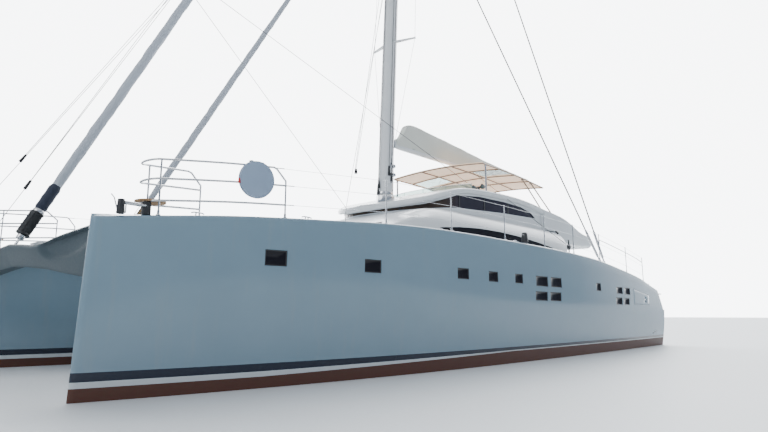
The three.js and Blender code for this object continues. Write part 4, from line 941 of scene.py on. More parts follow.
saloonHalf = [(5.4, 2.5), (5.0, 2.95), (4.0, 3.5), (2.6, 3.88), (1.6, 4.0), (-8.3, 4.0), (-9.3, 3.95)]
saloonTop = [(5.4, 4.18), (4.6, 4.6), (3.0, 5.32), (1.5, 5.8), (-1.0, 5.88), (-8.3, 5.9), (-9.3, 5.9)]
roofTop = [(1.9, 6.19), (0.8, 6.46), (-0.3, 6.84), (-1.3, 7.02), (-2.5, 7.12), (-4.0, 7.18), (-5.7, 7.19),
           (-7.25, 7.11), (-8.3, 6.99), (-9.6, 6.8), (-10.7, 6.52), (-11.8, 6.16), (-12.8, 6.01),
           (-13.9, 5.96)]
overhangHalf = [(-8.3, 3.3), (-9.3, 3.42), (-10.2, 3.55), (-12.2, 3.6), (-13.4, 3.55), (-13.9, 3.3)]
cabin = {"base": 3.3, "wall": 0.07, "saloonFront": 5.4, "saloonAft": -9.3, "wallTop": 5.22, "nose": 1.6,
         "shoulder": -0.9, "deckhouseAft": -8.3, "half": 3.05, "roofNose": 1.9, "roofAft": -13.9,
         "roofHalf": 3.3, "roofThick": 0.25, "under": 5.39, "tub": ((-8.3, -2.53, 6.2), (-2.5, 2.53, 6.85)),
         "panes": ((-2.7, -0.97), (-0.83, 0.83), (0.97, 2.7)), "paneFront": (2.5, 5.6),
         "paneLevels": (4.42, 5.05)}
# Blocks cut out of the upper deck: the helm well, its step and the aft well, then the saloon's top and the
# stairs' hatch
wells = (((-9.5, -2.45, 6.3), (-2.6, 2.45, 8.0)), ((-9.9, -2.45, 5.975), (-9.45, 2.45, 8.0)),
         ((-13.72, -3.25, 5.65), (-9.8, 3.25, 8.0)))
deckCuts = (((-9.3003, -4.5, 4.0), (-6.3, 4.5, 5.9003)), ((-12.4, -2.3, 5.0), (-10.3, -1.4, 8.0)))
# Blocks cut out of the saloon: the way up to the deckhouse, the aft doorway and the foredeck's seat
saloonCuts = (((-8.23, -2.7, 5.4), (0.9, 2.7, 6.5)), ((-9.4, -1.6, 3.2), (-9.1, 1.6, 5.25)),
              ((4.2997, -5.0, 3.0), (5.5, 5.0, 3.9503)))
sideStrip = [(1.9, 4.9), (0.5, 5.05), (-0.9, 5.14), (-2.5, 5.16), (-4.3, 5.11), (-6.2, 4.99), (-7.6, 4.86),
             (-7.3, 4.72), (1.1, 4.72)]
deckhouseBand = [(1.9, 5.85), (1.9, 5.93), (0.7, 6.15), (-0.7, 6.64), (-2.5, 6.82), (-4.7, 6.87),
                 (-6.2, 6.84), (-7.2, 6.68), (-7.7, 6.44), (-4.3, 6.31), (-0.7, 6.09)]


# A ring of corners with each corner rounded off, always the same count of points
def softRing(x, corners, radii):
    ring, count, steps = [], len(corners), 4
    for i in range(count):
        here, before, after = (Vector(corners[k % count]) for k in (i, i - 1, i + 1))
        into, out = before - here, after - here
        reach = min(radii[i], 0.45 * into.length, 0.45 * out.length)
        start = here + into.normalized() * reach
        end = here + out.normalized() * reach
        for k in range(steps + 1):
            t = k / steps
            point = start * (1 - t) ** 2 + here * 2 * t * (1 - t) + end * t * t
            ring.append((x, point.x, point.y))
    return ring


def symmetricRing(x, half, radii):
    return softRing(x, half + [(-y, z) for y, z in reversed(half)], radii + list(reversed(radii)))


def shell(name, rows):
    return cleaned(skin(name, rows, closed=True, capped=True), 0.0002)


def spread(first, last, step):
    count = max(1, round(abs(last - first) / step))
    return [first + (last - first) * i / count for i in range(count + 1)]


def clampedEnd(x, inset, front, aft):
    return min(front - inset, max(aft + inset, x))


def saloonBody(name, inset, base):
    rows = []
    for station in spread(5.4, 1.6, 0.12) + spread(1.5, -9.3, 0.6):
        x = clampedEnd(station, inset, cabin["saloonFront"], cabin["saloonAft"])
        half, top = curveAt(saloonHalf, station) - inset, curveAt(saloonTop, station) - inset
        wall = min(cabin["wallTop"], top - 0.06)
        shoulder = max(top - 0.12, wall + 0.03)
        corners = [(half, base), (half, wall), (half - 0.4, shoulder), (half - 0.9, top)]
        rows.append(symmetricRing(x, corners, [0, 0.3, 0.25, 0.4]))
    return shell(name, rows)


def noseHalf(x, nose, half):
    if x <= cabin["shoulder"]:
        return half
    t = (x - cabin["shoulder"]) / (nose - cabin["shoulder"])
    return half * sqrt(max(0, 1 - t * t))


def noseStations(nose):
    span = nose - cabin["shoulder"]
    return [cabin["shoulder"] + span * sin(a) for a in reversed(quarterSteps(26)[:-1])]


def deckhouseBody(name, inset, below, above):
    rows = []
    first = cabin["nose"] - 0.04
    for station in noseStations(first) + spread(-1.2, cabin["deckhouseAft"], 0.5):
        x = clampedEnd(station, inset, first, cabin["deckhouseAft"])
        half = noseHalf(station, cabin["nose"], cabin["half"]) - inset
        base = curveAt(saloonTop, station) - below
        top = curveAt(roofTop, station) - cabin["roofThick"] + above
        rows.append([(x, y, z) for y, z in ((half, base), (half, top), (-half, top), (-half, base))])
    return shell(name, rows)


def cutBlock(piece, low, high):
    return cutBy(piece, block("cutter", low, high))


def makeUpperDeck():
    brow = []
    for x in noseStations(1.88) + spread(-1.1, cabin["deckhouseAft"], 0.35):
        half, top = noseHalf(x, cabin["roofNose"], cabin["roofHalf"]), curveAt(roofTop, x)
        soft = min(0.09, half / 4)
        low = top - cabin["roofThick"]
        corners = [(half - soft, low), (half, low + 0.09), (half, top - 0.06), (half - soft, top),
                   (half * 0.4, top + 0.03)]
        brow.append(symmetricRing(x, corners, [0.05, 0.06, 0.08, 0.08, 0.3]))
    overhang = []
    for x in spread(cabin["deckhouseAft"] + 0.02, cabin["roofAft"], 0.28):
        half, top = curveAt(overhangHalf, x), curveAt(roofTop, x)
        low = cabin["under"]
        corners = [(half - 0.12, low), (half, low + 0.12), (half, top - 0.06), (half - 0.09, top),
                   (half * 0.4, top + 0.03)]
        overhang.append(symmetricRing(x, corners, [0.06, 0.06, 0.08, 0.08, 0.3]))
    piece = shell("upper_deck_skin", brow)
    cutBy(piece, shell("overhang", overhang), "UNION")
    cutBy(piece, block("tub", *cabin["tub"]), "UNION")
    for low, high in wells:
        cutBy(piece, rounded(block("well", low, high), 0.06, 3))
    for low, high in deckCuts:
        cutBlock(piece, low, high)
    return cleaned(piece, 0.0004)


def makeSaloon():
    piece = saloonBody("saloon_shell_skin", 0, cabin["base"])
    cutBy(piece, saloonBody("inside", cabin["wall"], 3.0))
    cutBy(piece, prism("strip", sideStrip, "Y", -4.2, 4.2))
    (aft, front), (under, over) = cabin["paneFront"], cabin["paneLevels"]
    for low, high in cabin["panes"]:
        cutBy(piece, rounded(block("pane", (aft, low, under), (front, high, over)), 0.05, 3))
    for low, high in saloonCuts:
        cutBlock(piece, low, high)
    return cleaned(piece, 0.0004)


mullions = {"across": (-1.5, 0, 1.5), "along": (-0.9, -2.9, -5.0)}


# Black bars between the panes: what the bars and the wall share, inside the band
def makeMullions(band):
    bars = [block("bar", (-0.5, y - 0.03, 5.5), (2.5, y + 0.03, 7.0)) for y in mullions["across"]]
    bars += [block("bar", (x - 0.035, -4.0, 5.5), (x + 0.035, 4.0, 7.0)) for x in mullions["along"]]
    wall = deckhouseBody("deckhouse_mullions", 0.015, 0.1, 0.1)
    cutBy(wall, deckhouseBody("inside", cabin["wall"], 0.2, 0.2))
    pieces = []
    for bar in bars:
        piece = copied(wall, "mullion")
        pieces.append(cutBy(piece, bar, "INTERSECT"))
    bpy.data.objects.remove(wall)
    return cutBy(joined(pieces, "deckhouse_mullions"), band, "INTERSECT")


def makeDeckhouse():
    piece = deckhouseBody("deckhouse_shell_skin", 0, 0.1, 0.1)
    cutBy(piece, deckhouseBody("inside", cabin["wall"], 0.2, 0.2))
    band = prism("band", deckhouseBand, "Y", -4.0, 4.0)
    twin = copied(band, "band_copy")
    cutBy(piece, band)
    cutBlock(piece, (-8.4, -2.451, 6.25), (-2.6, 2.451, 8.0))
    cleaned(piece, 0.0004)
    bars = makeMullions(twin)
    paint(piece, "white", "black")
    paint(bars, "white", "black")
    for face in bars.data.polygons:
        face.material_index = 1
    for face in piece.data.polygons:
        edge = 5.8 < face.center.z < 6.9 and abs(face.normal.z) > 0.2
        face.material_index = int(edge and abs(face.normal.y) < 0.1)
    return joined([piece, bars], "deckhouse_shell_skin")


upperDeck = makeUpperDeck()
finished(upperDeck, "white", angle=38, stands=("upper_deck",))
finished(makeSaloon(), "white", angle=38, stands=("saloon_shell",))
finished(makeDeckhouse(), None, angle=38, stands=("deckhouse_shell",))
for node, width in (("bridge_deck", 0.05), ("foredeck", 0.02), ("catwalk", 0.02),
                    ("port_foredeck_lid", 0.008), ("starboard_foredeck_lid", 0.008)):
    body = {"port_foredeck_lid": "port_lid", "starboard_foredeck_lid": "starboard_lid"}.get(node, "platform")
    look, slot = ("topsides", "gelcoat") if node == "bridge_deck" else ("white", "white")
    softened(node, look, width, 3, body)
print("superstructure made")

# Mast and standing rigging

mast = {"atWater": 0.742, "rake": 0.0455, "foot": 6.8405, "top": 36.8, "along": 0.39, "across": 0.25,
        "sides": 40, "spreaders": [(14.2, 1.25, 0.3), (21.0, 1.2, 0.29), (27.8, 1.05, 0.25)],
        "wires": (8.2, 33.6, 0.009), "track": (9.9, 26, 36.6), "tangs": (8.2, 33.6, 36.3, 26.0),
        "winches": ((7.75, 0.17), (8.15, 0.15)), "cleats": (7.2, 7.4, 7.6),
        "collar": (6.842, 6.98, 0.44, 0.41)}


def mastX(z):
    return mast["atWater"] - mast["rake"] * z


def ovalRing(x, y, z, along, across, sides):
    turns = turnSteps(sides)
    return [(x + along * cos(a), y + across * sin(a), z) for a in turns]


def mastSize(z):
    taper = max(0.0, (z - 26) / (mast["top"] - 26))
    return mast["along"] - 0.1 * taper, mast["across"] - 0.06 * taper


def oneSpreader(z, half, sweep, side):
    rows = []
    for k in range(7):
        t = k / 6
        chord, thick = 0.15 - 0.06 * t, 0.042 - 0.02 * t
        middle, y = mastX(z) - sweep * t, side * (0.1 + t * (half - 0.1))
        rows.append([(middle + chord * cos(a), y, z + thick * sin(a)) for a in turnSteps(14)])
    arm = skin("spreader", rows, closed=True, capped=True)
    tip = turnedRod("tip", (middle, side * half, z - 0.05), (middle, side * half, z + 0.05), 0.03)
    return [arm, rounded(tip, 0.01, 2)]


def makeMast():
    pieces = []
    heights = [mast["foot"]] + spread(8, 36, 2) + [mast["top"]]
    rows = [ovalRing(mastX(z), 0, z, *mastSize(z), mast["sides"]) for z in heights]
    pieces.append(skin("mast_skin", rows, closed=True, capped=True))
    high = mast["top"]
    track = [(mastX(z) - mastSize(z)[0] - 0.006, 0, z) for z in mast["track"]]
    pieces.append(tubes("track", [track], 0.016, 8))
    for row in mast["spreaders"]:
        for side in (-1, 1):
            pieces += oneSpreader(*row, side)
    crane = block("crane", (mastX(high) - 0.55, -0.06, high - 0.12), (mastX(high) + 0.42, 0.06, high + 0.04))
    pieces.append(rounded(crane, 0.02, 2))
    white = joined(pieces, "mast_skin")
    paint(white, "mastPaint")
    return white


def makeMastFittings():
    pieces = []
    start, end, radius = mast["wires"]
    for side in (-1, 1):
        path = [(mastX(start), side * 0.23, start)]
        path += [(mastX(z) - sweep, side * half, z) for z, half, sweep in mast["spreaders"]]
        pieces.append(tubes("diamond_wire", [path + [(mastX(end), side * 0.1, end)]], radius, 8))
        for z in mast["tangs"]:
            near, far = side * (mastSize(z)[1] - 0.06), side * (mastSize(z)[1] + 0.014)
            plate = block("tang", (mastX(z) - 0.05, near, z - 0.16), (mastX(z) + 0.05, far, z + 0.12))
            pieces.append(rounded(plate, 0.01, 2))
        for z, reach in mast["winches"]:
            x = mastX(z) - 0.1
            drum = turnedRod("winch", (x, side * 0.2, z), (x, side * (0.24 + reach), z), 0.1, 0.085, 24)
            insetFaces(drum, lambda face: face.normal.y * side > 0.9, 0.03, 0, side * 0.03, 0)
            pieces.append(rounded(drum, 0.008, 2))
        for z in mast["cleats"]:
            x = mastX(z) + 0.26
            horn = [(x, side * (0.18 + out), z + up)
                    for out, up in ((0, -0.09), (0.035, -0.03), (0.035, 0.03), (0, 0.09))]
            pieces.append(tubes("cleat", [horn], 0.012, 8))
    low, high, wide, narrow = mast["collar"]
    ring = turnedRod("collar", (mastX(low + 0.018), 0, low), (mastX(high), 0, high), wide, narrow, 40)
    useOnly(ring)
    bpy.ops.transform.resize(value=(1, 0.68, 1), center_override=(mastX(6.9), 0, 6.9))
    pieces.append(rounded(ring, 0.02, 3))
    return joined(pieces, "mast_fittings")


# Halyards strained down beside the mast, each to a black block over the deck
halyards = {"radius": 0.012, "lines": [(0.50, 0.02, 7.3, 34.2), (0.46, -0.05, 7.0, 33.0),
                                       (0.12, 0.27, 7.9, 25.6),
                                       (-0.05, 0.27, 7.6, 35.8), (0.12, -0.27, 7.3, 34.6)]}


def makeHalyards():
    paths, blocks = [], []
    for ahead, across, low, top in halyards["lines"]:
        reach = [ahead if z < 10 else max(ahead - 0.012 * (z - 10), 0.4 if ahead > 0.4 else ahead)
                 for z in (low, 10, 18, top)]
        paths.append([(mastX(z) + out, across, z) for out, z in zip(reach, (low, 10, 18, top))])
        tail = turnedRod("block", (mastX(low) + ahead, across, low - 0.2),
                         (mastX(low) + ahead, across, low + 0.25), 0.065, 0.035, 14)
        blocks.append(rounded(tail, 0.02, 2))
    return tubes("halyards", paths, halyards["radius"], 8), joined(blocks, "halyard_blocks")


chainplate = {"x": -7.6, "y": 6.5, "step": 0.5, "heads": (36.4, 26.0), "rod": 0.031, "screw": 0.056}


def along(start, end, distance):
    return start + (end - start).normalized() * distance


# Rod shrouds with forks, silver screws and chainplates let into the hull's side
def makeShrouds():
    dark, silver = [], []
    for i, top in enumerate(chainplate["heads"]):
        x = chainplate["x"] + i * chainplate["step"]
        foot, head = Vector((x, chainplate["y"], deckEdge(x) + 0.04)), Vector((mastX(top), 0.08, top))
        dark.append(turnedRod("rod", along(foot, head, 0.3), head, chainplate["rod"], sides=12))
        wide = chainplate["screw"]
        silver.append(turnedRod("screw", along(foot, head, 0.28), along(foot, head, 1.42), wide, sides=20))
        silver.append(turnedRod("cone", along(foot, head, 1.42), along(foot, head, 1.6), wide, 0.03, 20))
        silver.append(turnedRod("cone", along(foot, head, 0.17), along(foot, head, 0.28), 0.026, wide, 20))
        for side in (-0.028, 0.028):
            low = along(foot, head, 0.0) + Vector((0, side, 0))
            fork = turnedRod("fork", low, along(foot, head, 0.2) + Vector((0, side * 0.6, 0)), 0.018,
                             sides=12)
            silver.append(fork)
        silver.append(turnedRod("pin", foot + Vector((0, -0.05, 0.02)), foot + Vector((0, 0.05, 0.02)), 0.02,
                                sides=16))
    low = deckEdge(chainplate["x"])
    near, far = chainplate["x"] - 0.09, chainplate["x"] + chainplate["step"] + 0.09
    outline = [(near, low - 0.03), (far, low + 0.015), (far - 0.01, low + 0.14), (far - 0.17, low + 0.16),
               (far - 0.26, low + 0.08), (near + 0.18, low + 0.15), (near + 0.01, low + 0.13)]
    plate = prism("plate", outline, "Y", chainplate["y"] - 0.02, chainplate["y"] + 0.02)
    silver.append(rounded(plate, 0.006, 2))
    rods = joined(dark, "port_shrouds_skin")
    screws = joined(silver, "port_shroud_screws")
    paint(rods, "rod")
    paint(screws, "steel")
    return rods, screws


def onSides(piece, stands=(), angle=35):
    twin = mirroredTwin(piece, piece.name.replace("port_", "starboard_"))
    finished(piece, None, "platform", angle, [f"port_{node}" for node in stands])
    finished(twin, None, "platform", angle, [f"starboard_{node}" for node in stands])


finished(makeMast(), None, angle=40, stands=("mast",))
finished(makeMastFittings(), "steel")
for piece, look in zip(makeHalyards(), ("darkRope", "black")):
    finished(piece, look)
rods, screws = makeShrouds()
onSides(rods, ("shrouds",))
onSides(screws)
softened("mast_step", "steel", 0.02, 3)
print("mast made")

# Furled sails on their stays, with drums, toggles and boots

stays = {
    "headsail": {"foot": (15.05, 0, 3.39), "head": (mastX(34.4) + 0.1, 0, 34.4), "drum": (0.35, 0.68, 0.18),
                 "spool": 0.88,
                 "sail": (1.0503, 30.0, 0.14), "turn": 0.62},
    "staysail": {"foot": (12.36, 0, 3.56), "head": (mastX(25) + 0.15, 0, 25.0), "drum": (1.1, 0.42, 0.15),
                 "spool": 0.6,
                 "sail": (1.5203, 21.5, 0.11), "turn": 0.5},
}


def stayFrame(stay):
    foot, head = Vector(stay["foot"]), Vector(stay["head"])
    ahead = (head - foot).normalized()
    side = Vector((0, 1, 0))
    return foot, ahead, side, side.cross(ahead)


# A body turned about a stay from rows of distance and radius; shift may change the radius with the angle
def turnedOn(name, stay, rows, sides, shift=None):
    foot, ahead, side, up = stayFrame(stay)
    rings = []
    for distance, radius in rows:
        ring = []
        for angle in turnSteps(sides):
            wide = radius + (shift(distance, angle) if shift else 0)
            ring.append(foot + ahead * distance + side * wide * cos(angle) + up * wide * sin(angle))
        rings.append(ring)
    return skin(name, rings, closed=True, capped=True)


# The cloth lies in a rising spiral with soft wrinkles between its turns
def makeFurled(label, stay):
    start, end, radius = stay["sail"]
    table = [(start, radius * 0.62), (start + 0.9, radius * 0.86), (start + 3.5, radius),
             (end * 0.5, radius * 0.85), (end - 0.6, radius * 0.42), (end, radius * 0.2)]
    pitch = stay["turn"]

    def shift(distance, angle):
        turn = (angle / (2 * pi) - distance / (pitch * 2.6)) % 1
        edge = 0.075 * radius * (turn if turn < 0.9 else (1 - turn) * 9)
        crease = noise.noise(Vector((distance * 1.6 / pitch + angle * 0.9, 2.2 * cos(angle),
                                     2.2 * sin(angle))))
        return (edge + 0.12 * radius * crease) * min(1, (end - distance) / 2)
    rows = [(d, curveAt(table, d)) for d in spread(start, end, 0.085)]
    return turnedOn(f"furled_{label}_skin", stay, rows, 26, shift)


def makeDrum(label, stay):
    start, length, radius = stay["drum"]
    end = start + length
    rows = [(start, 0.06), (start, radius * 0.94), (start + 0.012, radius), (start + 0.028, radius),
            (start + 0.04, radius * 0.95), (start + 0.05, radius * stay["spool"]),
            (end - 0.05, radius * stay["spool"]),
            (end - 0.04, radius * 0.95), (end - 0.028, radius), (end - 0.012, radius), (end, radius * 0.94),
            (end, 0.06)]
    drum = turnedOn("drum", stay, rows, 32)
    foot, ahead, side, up = stayFrame(stay)
    near, far = foot + ahead * (start + 0.02), foot + ahead * (end - 0.02)
    cage = []
    for k in range(5):
        angle = (k + 0.5) / 5 * 2 * pi
        out = side * radius * 0.93 * cos(angle) + up * radius * 0.93 * sin(angle)
        cage.append(turnedRod("cage", near + out, far + out, 0.009, sides=8))
    return joined([drum] + cage, f"{label}_drum_skin")


# Line wound on the spool, so it shows between the plates of the drum
def makeWinding(label, stay):
    start, length, radius = stay["drum"]
    rows = [(start + 0.07 + i * 0.006, radius * (stay["spool"] + 0.02 + 0.03 * cos(i * pi)))
            for i in range(int((length - 0.14) / 0.006))]
    return turnedOn(f"{label}_drum_line", stay, rows, 24)


def makeToggle(label, stay):
    start, length, _ = stay["drum"]
    foot, ahead, side, _ = stayFrame(stay)
    pieces = []
    for reach in (-0.045, 0.045):
        strap = turnedRod("strap", foot + side * reach, foot + ahead * (start - 0.08) + side * reach, 0.022,
                          sides=14)
        pieces.append(strap)
    body = turnedRod("body", foot + ahead * (start - 0.14), foot + ahead * start, 0.1, sides=24)
    eye = foot + ahead * 0.09
    pieces += [rounded(body, 0.02, 3), turnedRod("pin", eye - side * 0.09, eye + side * 0.09, 0.024,
                                                 sides=16)]
    top = start + length
    collar = turnedOn("ring", stay, [(top, 0.1), (top, 0.15), (top + 0.05, 0.155), (top + 0.09, 0.14),
                                     (top + 0.1, 0.06)], 28)
    head = Vector(stay["head"])
    end = stay["sail"][1]
    pieces.append(turnedRod("foil", foot + ahead * (end - 0.2), head, 0.014, sides=12))
    swivel = turnedOn("swivel", stay, [(end + 0.02, 0.02), (end + 0.04, 0.05), (end + 0.2, 0.05),
                                       (end + 0.22, 0.02)], 20)
    return joined(pieces + [collar, swivel], f"{label}_toggle")


def makeBoot(label, stay, low, high, radius):
    rows = [(d, radius * (1 + 0.03 * sin(i * 1.9)) * (0.85 if i in (0, 9) else 1))
            for i, d in enumerate(spread(low, high, (high - low) / 9))]
    return turnedOn(f"{label}_boot", stay, rows, 24)


for label, stay in stays.items():
    roll = finished(makeFurled(label, stay), "furled", angle=60, stands=(f"furled_{label}",))
    drumLook = "black" if label == "headsail" else "bronze"
    finished(makeDrum(label, stay), drumLook, stands=(f"{label}_drum",))
    finished(makeWinding(label, stay), "darkRope", angle=60)
    finished(makeToggle(label, stay), "steel")
finished(makeBoot("headsail", stays["headsail"], 1.12, 1.92, 0.155), "bootCloth", angle=60)
print("furled sails made")

# Boom, its fittings and the sail cover

boomSet = {"z": 9.32, "half": 0.15, "deep": 0.33, "aft": -13.2, "straps": 1.45, "strapCount": 8,
           "bails": (-6.4, -9.6)}
coverRows = [(-0.377, 0.1, 0.11, 0.11), (-0.657, 0.4, 0.17, 0.17), (-1.067, 0.96, 0.22, 0.21),
             (-2.677, 0.9, 0.29, 0.23), (-5.2, 0.71, 0.28, 0.21), (-7.7, 0.48, 0.26, 0.19),
             (-10.5, 0.34, 0.23, 0.16), (-12.7, 0.26, 0.17, 0.11)]


def coverRing(x, grow=0.0):
    height, low, high = (curveAt([(row[0], row[k]) for row in coverRows], x) for k in (1, 2, 3))
    base = boomSet["z"] + boomSet["deep"] / 2 + 0.002
    strapped = abs(((-x - 0.3) / boomSet["straps"]) % 1 - 0.5) * 2
    half = [(0.158, -0.2), (0.166, -0.03), (low, height * 0.28), ((low + high) / 2, height * 0.6),
            (high, height * 0.88), (high * 0.93, height * 0.965), (high * 0.55, height),
            (high * 0.2, height * 1.004)]
    ring = []
    for side, points in ((1, half), (-1, list(reversed(half)))):
        for wide, up in points:
            fold = noise.noise(Vector((x * 1.7, side * 3.1 + up * 1.3, up * 0.8))) * 0.016
            fold += noise.noise(Vector((x * 5.5, side * 7.0, up * 2.4))) * 0.006
            belly = 0.93 + 0.06 * (1 - strapped ** 2) if up > 0.02 else 1
            fold *= 1 if up > 0.02 else 0.2
            ring.append((x, side * (wide * belly + fold + grow),
                         base + up * 0.985 + grow * (1 if up > height * 0.5 else -0.2)))
    return ring


def makeCover():
    rows = [coverRing(x) for x in spread(-0.25, -12.69, 0.06)]
    return skin("sail_cover_skin", rows, closed=True, capped=True)


def makeCoverStraps():
    pieces = []
    for k in range(boomSet["strapCount"]):
        x = -0.3 - boomSet["straps"] * (k + 0.5)
        rows = [coverRing(x - 0.025 + 0.0125 * i, 0.004 if 0 < i < 4 else 0.001) for i in range(5)]
        pieces.append(skin("strap", rows, closed=True))
    top = [(x, 0, coverRing(x)[7][2] + 0.006) for x in spread(-0.86, -12.6, 0.3)]
    pieces.append(tubes("zip", [top], 0.012, 8))
    return joined(pieces, "cover_straps")


def makeBoomFittings():
    low = boomSet["z"] - boomSet["deep"] / 2
    pieces = []
    bail = ((-0.12, 0.05), (-0.1, -0.06), (0, -0.1), (0.1, -0.06), (0.12, 0.05))
    for x in boomSet["bails"]:
        pieces.append(tubes("bail", [[(x, y, low + up) for y, up in bail]], 0.014, 10, curved=True))
    half, aft, middle = boomSet["half"], boomSet["aft"], boomSet["z"]
    cap = block("end_cap", (aft - 0.03, -half, low + 0.1), (aft + 0.01, half, low + 0.34))
    pieces.append(rounded(cap, 0.015, 3))
    for side in (-1, 1):
        strip = block("side_rail", (-12.6, side * half, middle - 0.02),
                      (-0.9, side * (half + 0.008), middle + 0.02))
        pieces.append(rounded(strip, 0.004, 2))
    return joined(pieces, "boom_fittings")


softened("boom", "mastPaint", 0.035, 4, "boom")
finished(makeBoomFittings(), "steel", "boom")
cover = finished(makeCover(), "coverCloth", "boom", 60, ("sail_cover",))
straps = finished(makeCoverStraps(), "coverCloth", "boom", 60)
softened("gooseneck", "steel", 0.01, 2)
print("boom made")

# Canopy over the helm deck

canopy = {"front": -3.34, "aft": -9.45, "half": 2.71, "z": 8.60, "fall": 0.25, "camber": 0.15, "rows": 4,
          "lift": 0.014, "drop": 0.0125, "tube": 0.032, "sag": 0.006,
          "windows": {"x": (-6.2, -5.1), "y": (0.99, 2.6)},
          "struts": [((-3.63, 2.7), (-3.63, 2.7), 0.045), ((-8.61, 3.0), (-7.13, 2.7), 0.035),
                     ((-9.44, 3.15), (-7.99, 2.7), 0.035)]}


def canopyZ(x):
    row = canopy["rows"] * (x - canopy["front"]) / (canopy["aft"] - canopy["front"])
    before = min(int(row), canopy["rows"] - 1)
    high, low = (canopy["z"] - canopy["fall"] * (i / canopy["rows"]) ** 2 for i in (before, before + 1))
    return high + (low - high) * (row - before)


def canopyPoint(x, y, lift):
    return (x, y, canopyZ(x) + canopy["camber"] * (1 - (y / canopy["half"]) ** 2) + lift)


def makeCanopyFrame():
    half, front, aft, drop = canopy["half"], canopy["front"] - 0.06, canopy["aft"] + 0.06, -canopy["drop"]
    stations = spread(front, aft, (front - aft) / 4)
    paths = [[canopyPoint(x, y, drop) for y in spread(half, -half, half / 8)] for x in stations]
    paths += [[canopyPoint(x, y, drop) for x in stations] for y in (half, -half, half / 3, -half / 3)]
    pieces = [tubes("canopy_tubes", paths, canopy["tube"], 12)]
    paint(pieces[0], "bronzePaint")
    for foot, head, radius in canopy["struts"]:
        for side in (-1, 1):
            low = Vector((foot[0], side * foot[1], curveAt(roofTop, foot[0]) - 0.01))
            high = Vector((head[0], side * head[1], canopyZ(head[0]) - 0.03))
            strut = turnedRod("strut", low, high, radius, sides=20)
            base = turnedRod("base", low + Vector((0, 0, -0.01)), low + Vector((0, 0, 0.035)), radius * 2.1,
                             sides=24)
            knuckle = turnedRod("knuckle", high - Vector((0, 0, 0.09)), high, radius * 1.35, sides=20)
            wholePost = joined([strut, rounded(base, 0.008, 2), rounded(knuckle, 0.01, 2)], "strut")
            paint(wholePost, "steel" if radius > 0.04 else "bronzePaint")
            pieces.append(wholePost)
    return joined(pieces, "canopy_frame_skin")


def makeCanopy():
    xs = spread(canopy["front"], canopy["aft"], 0.11)
    ys = spread(canopy["half"], -canopy["half"], 0.1)
    rows = []
    for x in xs:
        share = (x - canopy["front"]) / (canopy["aft"] - canopy["front"])
        bay = sin(pi * (canopy["rows"] * share % 1))
        row = []
        for y in ys:
            across = sin(pi * ((y + canopy["half"]) / (canopy["half"] * 2 / 3) % 1))
            ripple = noise.noise(Vector((x * 1.3, y * 1.3, 0))) * 0.004
            row.append(canopyPoint(x, y, canopy["lift"] + (canopy["sag"] + ripple) * bay * across))
        rows.append(row)
    piece = skin("canopy_skin", rows)
    paint(piece, "canopyCloth", "clearGlass")
    (aft, front), (near, far) = canopy["windows"]["x"], canopy["windows"]["y"]
    for face in piece.data.polygons:
        face.material_index = int(aft < face.center.x < front and near < abs(face.center.y) < far)
    modify(piece, "SOLIDIFY", thickness=0.003, offset=1)
    return piece


def makeCanopyHem():
    half, lift = canopy["half"], canopy["lift"] + 0.004
    edge = [canopyPoint(x, half, lift) for x in spread(canopy["front"], canopy["aft"], 0.4)]
    edge += [canopyPoint(canopy["aft"], y, lift) for y in spread(half - 0.2, -half, 0.25)]
    edge += [canopyPoint(x, -half, lift) for x in spread(canopy["aft"] + 0.2, canopy["front"], 0.4)]
    edge += [canopyPoint(canopy["front"], y, lift) for y in spread(-half + 0.2, half, 0.25)]
    seams = [[canopyPoint(x, y, lift + 0.004) for x in spread(canopy["front"], canopy["aft"], 0.3)]
             for y in (-half / 3, half / 3)]
    return tubes("canopy_hem", [edge] + seams, 0.011, 8)


finished(makeCanopyFrame(), None, stands=("canopy_frame",))
canopyHem = finished(makeCanopyHem(), "canopyCloth", angle=60)
canopySkin = finished(makeCanopy(), None, angle=60, stands=("canopy",))
print("canopy made")

# Rails along the decks

rail = {"post": 0.019, "pulpitPost": 0.021, "top": 1.23, "lower": (0.8, 0.32), "radius": 0.025,
        "wire": 0.0055, "in": 0.11, "posts": [7.82, 4.85, 1.63, -1.4, -4.05, -6.85, -10.2, -12.6]}
pulpit = {"outer": (11.15, 14.11), "nose": 0.18, "inner": (13.98, 12.43), "shoulder": 0.92, "bend": 0.29,
          "posts": ((11.15, 1, 0.92), (14.11, 1, 1.23), (13.97, -1, 1.23), (12.43, -1, 0.92)),
          "seat": {"x": 14.11, "radius": 0.33, "low": 0.3, "thick": 0.05}}


def railY(x):
    return hull["centre"] + halfAtDeck(x) - rail["in"]


def railPoint(x, lift, side=1):
    y = railY(x)
    return Vector((x, y if side > 0 else 2 * hull["centre"] - y, deckEdge(x) + lift))


def pulpitPath(lift):
    (aft, fore), (inner, last), bend = pulpit["outer"], pulpit["inner"], pulpit["bend"]
    wide = railY(fore) - hull["centre"]
    nose = []
    for k in range(1, 10):
        angle = k / 10 * pi
        x = fore + pulpit["nose"] * sin(angle)
        nose.append(Vector((x, hull["centre"] + wide * cos(angle), deckEdge(x) + lift)))
    if lift <= pulpit["shoulder"]:
        start, end = [railPoint(aft, lift)], [railPoint(last, lift, -1)]
    else:
        start = [railPoint(aft + bend * t, pulpit["shoulder"] + (lift - pulpit["shoulder"]) * u)
                 for t, u in ((0, -0.2), (0.03, 0), (0.9, 0.9), (1.15, 1))]
        end = [railPoint(last + 1.2 * bend * t, pulpit["shoulder"] + (lift - pulpit["shoulder"]) * u, -1)
               for t, u in ((1.2, 1), (0.9, 0.9), (0.03, 0), (0, -0.2))]
    middle = [railPoint(x, lift) for x in (12.0, 12.6, 13.2, 13.7, fore)]
    back = [railPoint(x, lift, -1) for x in (inner, 13.5, 13.1)]
    return start + middle + nose + back + end


